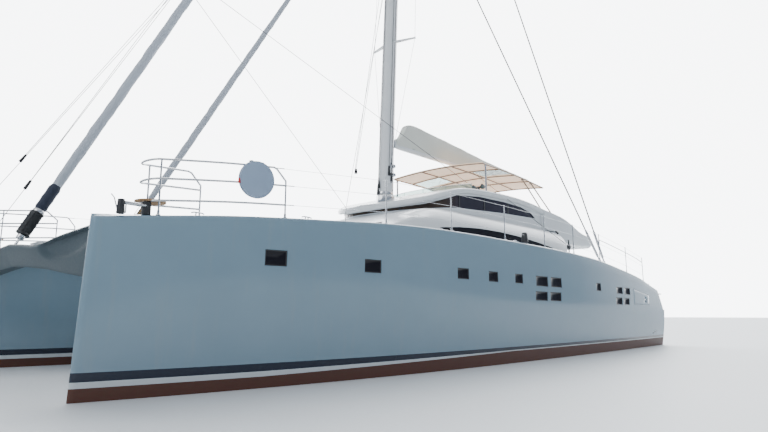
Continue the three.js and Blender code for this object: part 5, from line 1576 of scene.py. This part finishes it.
def post(x, side, radius, top):
    foot = railPoint(x, -0.005, side)
    base = turnedRod("base", foot, foot + Vector((0, 0, 0.02)), 0.05, sides=20)
    socket = turnedRod("socket", foot, foot + Vector((0, 0, 0.11)), radius * 1.5, radius * 1.3, 20)
    return [turnedRod("post", foot, railPoint(x, top, side), radius, sides=14), rounded(base, 0.005, 2),
            socket]


def makePulpit():
    paths = [pulpitPath(lift) for lift in (rail["top"], *rail["lower"])]
    pieces = [tubes("rails", paths, rail["radius"], 12)]
    for x, side, top in pulpit["posts"]:
        pieces += post(x, side, rail["pulpitPost"], top)
    return joined(pieces, "port_pulpit_skin")


# Slatted round seat that rests on the lowest rail in the nose
def makePulpitSeat():
    seat = pulpit["seat"]
    low = Vector((seat["x"], hull["centre"], deckEdge(seat["x"]) + seat["low"]))
    disc = turnedRod("port_pulpit_seat", low, low + Vector((0, 0, seat["thick"])), seat["radius"], sides=48)
    insetFaces(disc, lambda face: face.normal.z > 0.9, 0.05, 0, 0, -0.012)
    rounded(disc, 0.01, 3, 30)
    for k in range(-4, 5):
        y = low.y + k * 0.06
        half = sqrt(max(0.05, 0.27 ** 2 - (k * 0.06) ** 2))
        cutBlock(disc, (low.x - half, y - 0.005, low.z + 0.02), (low.x + half, y + 0.005, low.z + 0.1))
    return disc


def makeLifeline():
    pieces = []
    for x in rail["posts"]:
        pieces += post(x, 1, rail["post"], rail["top"])
        cap = turnedRod("cap", railPoint(x, rail["top"] - 0.01), railPoint(x, rail["top"] + 0.02), 0.024,
                        0.014, 16)
        pieces.append(cap)
    aft, bend = pulpit["outer"][0], pulpit["bend"]
    starts = ((rail["top"] - 0.01, aft + bend), *((lift, aft) for lift in rail["lower"]))
    paths = [[railPoint(x, lift) for x in [start - 0.01] + rail["posts"]] for lift, start in starts]
    pieces.append(tubes("wires", paths, rail["wire"], 8))
    for lift, start in starts:
        screw = turnedRod("screw", railPoint(start - 0.02, lift), railPoint(start - 0.24, lift), 0.013,
                          sides=12)
        pieces.append(screw)
    return joined(pieces, "port_lifeline_skin")


# Winch and block at the deck edge, a long aft rail and its gate post
railGear = {"winch": (0.09, 0.28), "block": (-3.7, 0.25), "aft": (-6.85, -12.5), "height": 0.98}


def makeRailGear():
    x, lift = railGear["winch"]
    middle = railPoint(x, lift) + Vector((0, -0.06, 0))
    drum = turnedRod("drum", middle - Vector((0, 0, 0.22)), middle + Vector((0, 0, 0.1)), 0.13, 0.105, 28)
    insetFaces(drum, lambda face: face.normal.z > 0.9, 0.03, 0, 0, 0.045)
    rounded(drum, 0.015, 3)
    x, lift = railGear["block"]
    middle = railPoint(x, lift) + Vector((0, -0.05, 0))
    cheek = turnedRod("cheek", middle - Vector((0, 0.05, 0)), middle + Vector((0, 0.05, 0)), 0.11, sides=24)
    strop = turnedRod("strop", middle - Vector((0, 0, 0.26)), middle + Vector((0, 0, 0.3)), 0.03, sides=12)
    gear = joined([drum, rounded(cheek, 0.02, 3), strop], "port_rail_blocks")
    paint(gear, "black")
    start, end = railGear["aft"]
    lift = railGear["height"]
    top = [railPoint(start, 0.6), railPoint(start - 0.03, lift - 0.05), railPoint(start - 0.08, lift)]
    paths = [top + [railPoint(x, lift) for x in spread(start - 0.5, end, 0.6)]]
    aft = tubes("port_aft_rail", paths, 0.021, 12)
    paint(aft, "steel")
    return gear, aft


for piece, look, stands in ((makePulpit(), "steel", ("pulpit",)), (makeLifeline(), "steel", ("lifeline",)),
                            (makePulpitSeat(), "teak", ())):
    paint(piece, look)
    onSides(piece, stands)
for piece, slot in zip(makeRailGear(), ("black", "steel")):
    onSides(piece)
print("rails made")

# Round case on the port rail

case = {"x": 11.97, "lift": 0.87, "radius": 0.44, "thick": 0.13, "rail": (11.44, 12.6), "off": 0.017,
        "rim": (0.028, -0.008), "face": (0.03, 0.012), "seam": 0.447, "buckles": (-0.35, 0.35),
        "strap": 0.455}


def makeCase():
    x0, x1 = case["rail"]
    slope = (railY(x1) - railY(x0)) / (x1 - x0)
    middle = Vector((case["x"], railY(x0) + slope * (case["x"] - x0), deckEdge(case["x"]) + case["lift"]))
    out = Vector((-slope, 1, 0)).normalized()
    start = middle + out * case["off"]
    body = turnedRod("case_body", start, start + out * case["thick"], case["radius"], sides=64)
    editFaces(body, lambda face: face.normal.dot(out) > 0.9)
    for inset, shift in (case["rim"], case["face"]):
        bpy.ops.mesh.inset(thickness=inset)
        bpy.ops.transform.translate(value=out * shift)
    leaveEdit()
    rounded(body, 0.012, 3, 30)
    ahead, up = Vector((1, slope, 0)).normalized(), Vector((0, 0, 1))
    rounds = [(up * cos(a) + ahead * sin(a)) * case["seam"] for a in turnSteps(40, True)]
    seam = tubes("seam", [[start + out * 0.06 + point for point in rounds]], 0.006, 8)
    wholeCase = joined([body, seam], "lifebuoy_case_skin")
    buckles = []
    half = Vector((0.03, 0.05, 0.02))
    for turn in case["buckles"]:
        point = start + out * 0.03 + Vector((sin(turn), 0, cos(turn))) * case["strap"]
        buckles.append(rounded(block("buckle", point - half, point + half), 0.006, 2))
    lamp = start + Vector((case["radius"], 0.0, -0.07))
    grab = rounded(block("grab", lamp - Vector((0.035, 0.03, 0.07)), lamp + Vector((0.035, 0.03, 0.05))),
                   0.02, 3)
    return wholeCase, joined(buckles, "case_buckles"), joined([grab], "case_light")


caseSkin, buckles, caseLight = makeCase()
finished(caseSkin, "caseBlue", stands=("lifebuoy_case",))
finished(buckles, "steel")
finished(caseLight, "red")
print("case made")

# Cushions: crowned closed forms whose sides pull in between their corners, with piped seams

pad = {"edge": 0.03, "crown": 0.022, "pull": 0.014, "piping": 0.007, "gap": 0.01}


# towards is the axis that the crowned side faces, with its sign
def cushion(name, low, high, towards=("Z", 1)):
    low, high = (Vector(map(pick, low, high)) for pick in (min, max))
    middle, half = (low + high) / 2, (high - low) / 2
    n = "XYZ".index(towards[0])
    u, v = (n + 1) % 3, (n + 2) % 3
    half[u], half[v] = half[u] - pad["gap"], half[v] - pad["gap"]
    half[n] -= pad["crown"] / 2
    middle[n] -= towards[1] * pad["crown"] / 2

    def shaped(point):
        a, b, c = ((point[i] - middle[i]) / half[i] for i in (u, v, n))
        point = Vector(point)
        point[n] += towards[1] * pad["crown"] * max(0, c * towards[1]) * (1 - a ** 4) * (1 - b ** 4)
        point[n] += noise.noise(point * 4.0) * 0.003 * max(0, c * towards[1])
        point[u] -= copysign(pad["pull"], a) * abs(a) ** 3 * (1 - b * b)
        point[v] -= copysign(pad["pull"], b) * abs(b) ** 3 * (1 - a * a)
        return point
    piece = rounded(block(name, middle - half, middle + half), pad["edge"], 3)
    editAll(piece, bpy.ops.mesh.subdivide, number_cuts=5)
    for vertex in piece.data.vertices:
        vertex.co = shaped(vertex.co)
    seams = []
    for level in (-1, 1):
        loop = []
        for angle in turnSteps(56, True):
            across, up = cos(angle), sin(angle)
            square = (abs(across) ** 24 + abs(up) ** 24) ** (-1 / 24)
            point = middle.copy()
            point[u] += across * square * (half[u] - 0.008)
            point[v] += up * square * (half[v] - 0.008)
            point[n] += level * (half[n] - 0.008)
            loop.append(shaped(point))
        seams.append(loop)
    return joined([piece, tubes("piping", seams, pad["piping"], 8)], name)


def cushions(name, rows):
    return joined([cushion(f"{name}_{i}", *row) for i, row in enumerate(rows)], name)


# Stations along the boat, sides across it and levels of the floor, seat and back of both groups of seats
upperSeats = {"x": (-7.3, -8.7, -9.05, -9.2), "y": (1.7, 2.3), "z": (6.3003, 6.54, 6.7, 7.09), "arm": 0.69,
              "third": 1.133, "split": 0.567}
sofa = {"x": (-11.6, -12.36, -12.84, -13.0), "y": (0.42, 2.5, 3.04, 3.19), "z": (3.3003, 3.58, 3.73, 4.14),
        "half": 1.03}


def makeUpperSeats():
    fore, bench, back, aft = upperSeats["x"]
    near, far = upperSeats["y"]
    floor, seat, top, over = upperSeats["z"]
    third = upperSeats["third"]
    rows = []
    for side in (-1, 1):
        for x in (fore, fore - upperSeats["arm"]):
            rows.append(((x, side * near, seat), (x - upperSeats["arm"], side * far, top)))
        rows.append(((back, side * near, top), (aft, side * far, over), ("X", 1)))
    for y in (-near, -upperSeats["split"], upperSeats["split"]):
        rows.append(((bench, y, seat), (back, y + third, top)))
        rows.append(((back, y, top), (aft, y + third, over), ("X", 1)))
    outline = [(fore, -far), (fore, -near), (bench, -near), (bench, near), (fore, near), (fore, far),
               (aft, far), (aft, -far)]
    seats = cushions("upper_seats_skin", rows)
    return seats, rounded(prism("upper_seat_base", outline, "Z", floor, seat), 0.02, 3)


def makeSofa():
    fore, front, back, aft = sofa["x"]
    start, near, far, wall = sofa["y"]
    floor, seat, top, over = sofa["z"]
    starts = (start, start + sofa["half"])
    rows = [((front, y, seat), (back, y + sofa["half"], top)) for y in starts]
    rows += [((front, near, seat), (back, far, top)), ((fore, near, seat), (front + 0.02, far, top))]
    rows += [((back - 0.02, y, top + 0.01), (aft, y + sofa["half"], over), ("X", 1)) for y in starts]
    rows += [((back - 0.02, near, top + 0.01), (aft, wall - 0.01, over), ("X", 1)),
             ((fore, far + 0.01, top + 0.01), (back, wall, over), ("Y", -1))]
    inner, outer = front + 0.01, wall + 0.01
    outline = [(fore, near), (inner, near), (inner, start - 0.02), (aft, start - 0.02), (aft, outer),
               (fore, outer)]
    seats = cushions("cockpit_sofa_skin", rows)
    return seats, rounded(prism("cockpit_sofa_base", outline, "Z", floor, seat), 0.02, 3)


for (seats, base), node in ((makeUpperSeats(), "upper_seats"), (makeSofa(), "cockpit_sofa")):
    finished(base, "white")
    finished(seats, "cushionCloth", angle=60, stands=(node,))
print("cushions made")

# Table, stairs and doors of the cockpit

stairs = {"foot": -12.5, "floor": 3.3, "rise": 2.35 / 9, "steps": 9, "lean": 0.889, "sides": (-2.24, -1.46),
          "rail": (1.9, 2.15), "railHeight": 0.85}
table = {"top": ((-12.15, 0.7, 4.02), (-10.5, 2.3, 4.07)), "leg": (-11.3, 1.5), "floor": 3.3003}
grip = {"sides": ((-9.38, 1), (-9.33, -1)), "path": ((0, 4.1), (1, 4.13), (1, 4.57), (0, 4.6))}


def makeTable():
    (x, y), floor = table["leg"], table["floor"]
    top = rounded(block("cockpit_table_skin", *table["top"]), 0.02, 4)
    leg = turnedRod("leg", (x, y, floor + 0.0197), (x, y, table["top"][0][2]), 0.09, 0.07, 32)
    foot = rounded(turnedRod("foot", (x, y, floor), (x, y, floor + 0.0347), 0.3, 0.28, 40), 0.012, 3)
    paint(top, "teak")
    legs = joined([leg, foot], "table_leg")
    paint(legs, "steel")
    return joined([top, legs], "cockpit_table_skin")


def makeStairTrim():
    treads = []
    low, high = stairs["sides"]
    for i in range(1, stairs["steps"]):
        z = stairs["floor"] + i * stairs["rise"]
        x = stairs["foot"] + (z - stairs["floor"]) * stairs["lean"]
        tread = block("tread", (x + 0.05, low + 0.03, z), (x + 0.29, high - 0.03, z + 0.008))
        treads.append(rounded(tread, 0.003, 2))
    rails = []
    run, rise = stairs["rail"]
    for y in stairs["sides"]:
        low = Vector((stairs["foot"] + 0.1, y, stairs["floor"] + 0.1))
        feet = [low + Vector((run, 0, rise)) * t for t in (0, 0.5, 1)]
        tops = [foot + Vector((0, 0, stairs["railHeight"])) for foot in feet]
        rails += [[tops[0] + Vector((-0.12, 0, -0.14)), tops[0], tops[2], tops[2] + Vector((0.15, 0, 0.06))]]
        rails += [[foot, top] for foot, top in zip(feet, tops)]
    return joined(treads, "stair_treads"), tubes("stair_rails", rails, 0.016, 12)


treads, stairRails = makeStairTrim()
finished(makeTable(), None, stands=("cockpit_table",))
finished(treads, "teak")
finished(stairRails, "steel")
softened("stairs", "white", 0.008)
for label, side in (("port", 1), ("starboard", -1)):
    softened(f"{label}_door_leaf", "steel", 0.006, 2, f"{label}_door")
    grips = [[(x - out * 0.05 * way, side * 0.045, z) for out, z in grip["path"]] for x, way in grip["sides"]]
    finished(tubes(f"{label}_door_grip", grips, 0.011, 10), "black", f"{label}_door")
print("cockpit made")

# Helm stations: consoles with blank screens and leaning wheels

helm = {"x": -3.6, "y": 1.65, "z": 6.9, "lean": 20, "hub": 0.12, "radius": 0.42, "tube": 0.016, "spokes": 5,
        "panel": (-3.4881, 6.859), "lever": (1.9, 7.37, 7.5), "bowl": (1.55, 7.36, 7.43), "shelf": -3.2,
        "screens": ((7.0, 7.28, 0.06, 0.37), (7.0, 7.28, -0.25, 0.03), (7.08, 7.28, -0.37, -0.28)),
        "screenDepth": (-0.01, 0.018)}


def makeWheel(side):
    ring = [(0, sin(a) * helm["radius"], cos(a) * helm["radius"]) for a in turnSteps(48, True)]
    rim = tubes("rim", [ring], helm["tube"], 12)
    paint(rim, "black")
    spokes = []
    for angle in turnSteps(helm["spokes"]):
        tip = Vector((0, sin(angle), cos(angle))) * helm["radius"]
        spokes.append(turnedRod("spoke", tip * 0.1 + Vector((0.02, 0, 0)), tip, 0.012, 0.009, 12))
    hub = turnedRod("hub", (-0.03, 0, 0), (helm["hub"] - 0.0003, 0, 0), 0.05, 0.045, 28)
    cap = turnedRod("cap", (-0.05, 0, 0), (-0.028, 0, 0), 0.03, 0.05, 28)
    metal = joined(spokes + [rounded(hub, 0.006, 2), cap], "spokes")
    paint(metal, "steel")
    wheel = joined([rim, metal], ("port" if side > 0 else "starboard") + "_helm_wheel_skin")
    lean = Matrix.Rotation(radians(helm["lean"]), 4, "Y")
    wheel.data.transform(Matrix.Translation((helm["x"], side * helm["y"], helm["z"])) @ lean)
    return wheel


def makeHelmTrim():
    slope = tan(radians(helm["lean"]))
    x0, z0 = helm["panel"]
    x, (back, front) = helm["shelf"], helm["screenDepth"]
    pieces = []
    for side in (-1, 1):
        for low, high, near, far in helm["screens"]:
            face = [(x0 + (z - z0) * slope - out, z + out * slope)
                    for z, out in ((low, back), (high, back), (high, front), (low, front))]
            screen = prism("screen", face, "Y", side * helm["y"] + near, side * helm["y"] + far)
            pieces.append(rounded(screen, 0.006, 2))
        y, low, high = side * helm["lever"][0], *helm["lever"][1:]
        lever = turnedRod("lever", (x + 0.04, y, low), (x, y, high), 0.012, 0.01, 12)
        knob = turnedRod("knob", (x, y - 0.03, high), (x, y + 0.03, high), 0.022, sides=16)
        y, low, high = side * helm["bowl"][0], *helm["bowl"][1:]
        bowl = turnedRod("bowl", (x, y, low), (x, y, high), 0.085, 0.06, 28)
        pieces += [lever, rounded(knob, 0.01, 3), rounded(bowl, 0.02, 4)]
    return joined(pieces, "helm_screens")


for label, side in (("port", 1), ("starboard", -1)):
    softened(f"{label}_helm_console", "white", 0.035, 4)
    finished(makeWheel(side), None, f"{label}_wheel", stands=(f"{label}_helm_wheel",))
finished(makeHelmTrim(), "black")
print("helm made")

# Keels and rudders as smooth foils, propellers and brackets

foils = {"keel": [(-1.0, 1.8, -4.2, 0.14), (-1.74, 0.97, -3.74, 0.112), (-1.785, 0.9, -3.7, 0.09),
                  (-1.8, 0.7, -3.5, 0.04)],
         "rudder": [(-0.64, -13.12, -14.11, 0.065), (-1.69, -13.208, -13.925, 0.04),
                    (-1.73, -13.23, -13.9, 0.03),
                    (-1.74, -13.3, -13.8, 0.01)],
         "stock": (-13.35, -0.7, 0.1, 0.06)}


def makeFoil(name, rows):
    rings = []
    for z, front, aft, half in rows:
        ring = []
        for angle in turnSteps(28):
            share = (1 - cos(angle)) / 2
            y = half * 1.2 * sin(angle) * sqrt(1 - 0.92 * share)
            ring.append((front + (aft - front) * share, hull["centre"] + y, z))
        rings.append(ring)
    return skin(name, rings, closed=True, capped=True)


def makeRudder():
    blade = makeFoil("port_rudder_skin", foils["rudder"])
    x, low, high, radius = foils["stock"]
    stock = turnedRod("stock", (x, hull["centre"], low), (x, hull["centre"], high), radius, sides=32)
    return joined([blade, stock], "port_rudder_skin")


for made, node, body in ((makeFoil("port_keel_skin", foils["keel"]), "keel", "platform"),
                         (makeRudder(), "rudder", "rudder")):
    for label in ("port", "starboard"):
        piece = made if label == "port" else mirroredTwin(made, f"starboard_{node}_skin")
        moving = body if body == "platform" else f"{label}_{body}"
        finished(piece, "antifouling", moving, 40, (f"{label}_{node}",))
for label in ("port", "starboard"):
    softened(f"{label}_propeller", "bronze", 0.004, 2, f"{label}_propeller")
    softened(f"{label}_shaft_bracket", "bronze", 0.006, 2)
print("underwater parts made")

# Nets between the bows, laced along their edges

net = {"front": 14.5597, "aft": 8.6003, "low": 3.2, "rise": 0.29, "near": 0.3803, "cell": 0.075,
       "thick": 0.011, "hem": 0.07, "cells": 46, "laces": 60}


def netPoint(x, share, inset=0.0):
    z = net["low"] + net["rise"] * (net["front"] - x) / (net["front"] - net["aft"])
    near, far = net["near"] + inset, hull["centre"] - sideHalf(x, z) - 0.012 - inset
    return Vector((x, near + (far - near) * share, z))


def makeNet():
    hem = net["hem"]
    xs = spread(net["front"] - hem, net["aft"] + hem, net["cell"])
    rows = [[netPoint(x, k / net["cells"], hem) for k in range(net["cells"] + 1)] for x in xs]
    piece = modify(skin("port_trampoline_skin", rows), "WIREFRAME", thickness=net["thick"])
    corners = ((xs[0], 0), (xs[0], 1), (xs[-1], 1), (xs[-1], 0), (xs[0], 0))
    edge, lacing = [], []
    for (x0, s0), (x1, s1) in zip(corners, corners[1:]):
        for k in range(net["laces"]):
            t = k / net["laces"]
            x, share = x0 + (x1 - x0) * t, s0 + (s1 - s0) * t
            edge.append(netPoint(x, share, hem))
            if s0 == s1:
                lacing.append(netPoint(x, share, hem if k % 2 else 0.004))
            else:
                out = 0 if k % 2 else (hem - 0.004) * (1 if x0 > 12 else -1)
                lacing.append(netPoint(x + out, share, hem))
    edge.append(edge[0])
    return joined([piece, tubes("border", [edge], 0.012, 8), tubes("lacing", [lacing], 0.005, 6)],
                  "port_trampoline_skin")


made = makeNet()
paint(made, "net")
onSides(made, ("trampoline",), 60)
print("nets made")

# Fittings on the deck and the roof

fittings = {"hatches": (9.3, 6.1, 2.7, -2.3), "cleats": (13.2, 10.4, 0.6, -9.2, -13.0),
            "lights": {"x": -2.75, "y": 2.85, "reach": 0.23, "lift": 0.19},
            "screen": {"x": -2.28, "half": 2.5, "bow": 0.42, "top": 7.54}, "hatchHalf": (0.28, 0.25),
            "bollards": ((-13.7, 6.35, 2.98), (-13.9, 6.35, 2.98))}
bowGear = {"drum": ((14.86, 5.32, 3.69), (14.86, 5.32, 4.0)),
           "stand": ((14.2, 5.2, 3.73), (14.36, 5.34, 4.02)),
           "bar": ((14.8, 5.34, 3.93), (14.3, 5.3, 3.93)),
           "fork": [[(14.9, 5.3, 3.7), (14.98, 5.26, 4.02), (15.02, 5.2, 4.1)],
                    [(14.8, 5.42, 3.7), (14.8, 5.42, 3.9)]]}


def cleat(x, y, z, size=0.16):
    horn = [(x + size * reach, y, z + up)
            for reach, up in ((-1, 0.05), (-0.6, 0.068), (0.6, 0.068), (1, 0.05))]
    legs = [[(x + side * 0.05, y, z), (x + side * 0.04, y, z + 0.065)] for side in (-1, 1)]
    return tubes("cleat", [horn] + legs, 0.016, 12)


def makeHatches():
    pieces = []
    (length, width), y = fittings["hatchHalf"], hull["centre"]
    for x in fittings["hatches"]:
        piece = block("hatch", (x - length, y - width, 0.035), (x + length, y + width, 0.1))
        insetFaces(piece, lambda face: face.normal.z > 0.9, 0.035, 0, 0, -0.008)
        rounded(piece, 0.006, 2)
        paint(piece, "steel", "darkGlass")
        for face in piece.data.polygons:
            face.material_index = int(face.normal.z > 0.9 and face.area > 0.15)
        for vertex in piece.data.vertices:
            vertex.co.z += deckEdge(vertex.co.x)
        pieces.append(piece)
    return joined(pieces, "port_deck_hatches")


def makeCleats():
    pieces = [cleat(x, railY(x) - 0.16, deckEdge(x) + 0.01) for x in fittings["cleats"]]
    for low in fittings["bollards"]:
        bollard = turnedRod("bollard", low, Vector(low) + Vector((0, 0, 0.28)), 0.045, sides=20)
        pieces.append(rounded(bollard, 0.01, 2))
    return joined(pieces, "port_cleats")


# Winch, roller and stand by the seat at the port bow
def makeBowGear():
    drum = turnedRod("drum", *bowGear["drum"], 0.085, 0.07, 28)
    stand = block("stand", *bowGear["stand"])
    dark = joined([rounded(drum, 0.015, 3), rounded(stand, 0.02, 3)], "bow_winch")
    bar = turnedRod("bar", *bowGear["bar"], 0.04, sides=20)
    return dark, joined([rounded(bar, 0.01, 2), tubes("fork", bowGear["fork"], 0.014, 10)], "bow_roller")


def makeLamps():
    row = fittings["lights"]
    x, z = row["x"], curveAt(roofTop, row["x"])
    pieces = []
    for side in (-1, 1):
        y, level = row["y"] + side * row["reach"], z + row["lift"]
        lamp = turnedRod("lamp", (x - 0.1, y, level), (x + 0.1, y, level), 0.06, 0.088, 36)
        insetFaces(lamp, lambda face: face.normal.x > 0.9, 0.012, -0.03, 0, 0)
        rounded(lamp, 0.006, 2)
        useOnly(lamp)
        bpy.ops.transform.resize(value=(1, 1, 1.45), center_override=(x, y, level))
        paint(lamp, "black", "clearGlass")
        for face in lamp.data.polygons:
            face.material_index = int(face.normal.x > 0.9 and face.center.x < x + 0.085)
        pieces.append(lamp)
    arm = [(x, row["y"] + side * row["reach"], z + 0.16) for side in (-1, 1)]
    pod = turnedRod("pod", (x, row["y"], z - 0.01), (x, row["y"], z + 0.2), 0.06, 0.045, 24)
    stand = joined([tubes("arm", [arm], 0.03, 12), rounded(pod, 0.01, 2)], "stand")
    paint(stand, "black")
    return joined(pieces + [stand], "searchlights_skin")


def makeScreenTrim():
    row = fittings["screen"]
    arc = [(row["x"] - 0.0075 - row["bow"] * t * t, row["half"] * t) for t in spread(-1, 1, 0.1)]
    paths = [[(x, y, row["top"] + 0.006) for x, y in arc]]
    for t in (-1, -0.5, 0, 0.5, 1):
        x = row["x"] - 0.03 - row["bow"] * t * t
        low = curveAt(roofTop, x) - 0.01
        paths.append([(x, row["half"] * t, low), (x, row["half"] * t, row["top"])])
    return tubes("windscreen_trim", paths, 0.012, 10)


onSides(makeHatches())
cleats = makeCleats()
paint(cleats, "steel")
onSides(cleats)
for piece, look in zip(makeBowGear(), ("black", "steel")):
    finished(piece, look)
finished(makeLamps(), None, stands=("searchlights",))
finished(makeScreenTrim(), "steel")
softened("windlass", "steel", 0.012, 3)
print("fittings made")

# Sheets and halyards under strain, each from the first point to the last

lines = {"radius": 0.011,
         "pale": [[(10.48, 0, 12.38), (3.17, 0.25, 5.9)], [(3.17, 0.25, 5.9), (-0.25, 0.2, 21.0)],
                  [(2.61, 0.25, 7.6), (-0.2, 0.1, 21.2)],
                  [(2.66, 0.25, 7.6), (-0.1, 0.15, 22.4)], [(3.17, 0.25, 5.9), (3.2, 0.25, 5.18)],
                  [(15.44, -5.1, 3.62), (-0.45, -0.1, 31.0)], [(15.0, -3.27, 3.44), (-0.55, 0.1, 34.0)],
                  [(13.6, -4.53, 6.85), (-0.5, -0.1, 31.6)], [(13.85, -3.0, 5.72), (-0.6, 0.1, 34.8)]],
         "dark": [[(10.24, 0, 12.85), (-3.3, 2.3, 7.42)], [(-3.7, 6.44, 4.55), (-5.4, 0.3, 9.25)]],
         "blocks": [((2.61, 0.25, 7.42), (2.61, 0.25, 7.64), 0.07),
                    ((-3.95, 6.0, 5.05), (-4.05, 5.85, 5.2), 0.05),
                    ((13.71, -4.57, 6.63), (13.55, -4.52, 6.91), 0.055),
                    ((13.98, -3.03, 5.46), (13.83, -3.0, 5.76), 0.055),
                    ((15.44, -5.1, 3.58), (15.4, -5.09, 3.7), 0.03),
                    ((15.0, -3.27, 3.38), (14.96, -3.26, 3.52), 0.03)]}

for tone, look in (("pale", "rope"), ("dark", "darkRope")):
    finished(tubes(f"{tone}_lines", lines[tone], lines["radius"], 8), look, angle=60)
blocks = [rounded(turnedRod("block", start, end, radius, radius * 0.7, 18), 0.02, 2)
          for start, end, radius in lines["blocks"]]
finished(joined(blocks, "line_blocks"), "black")
print("lines made")
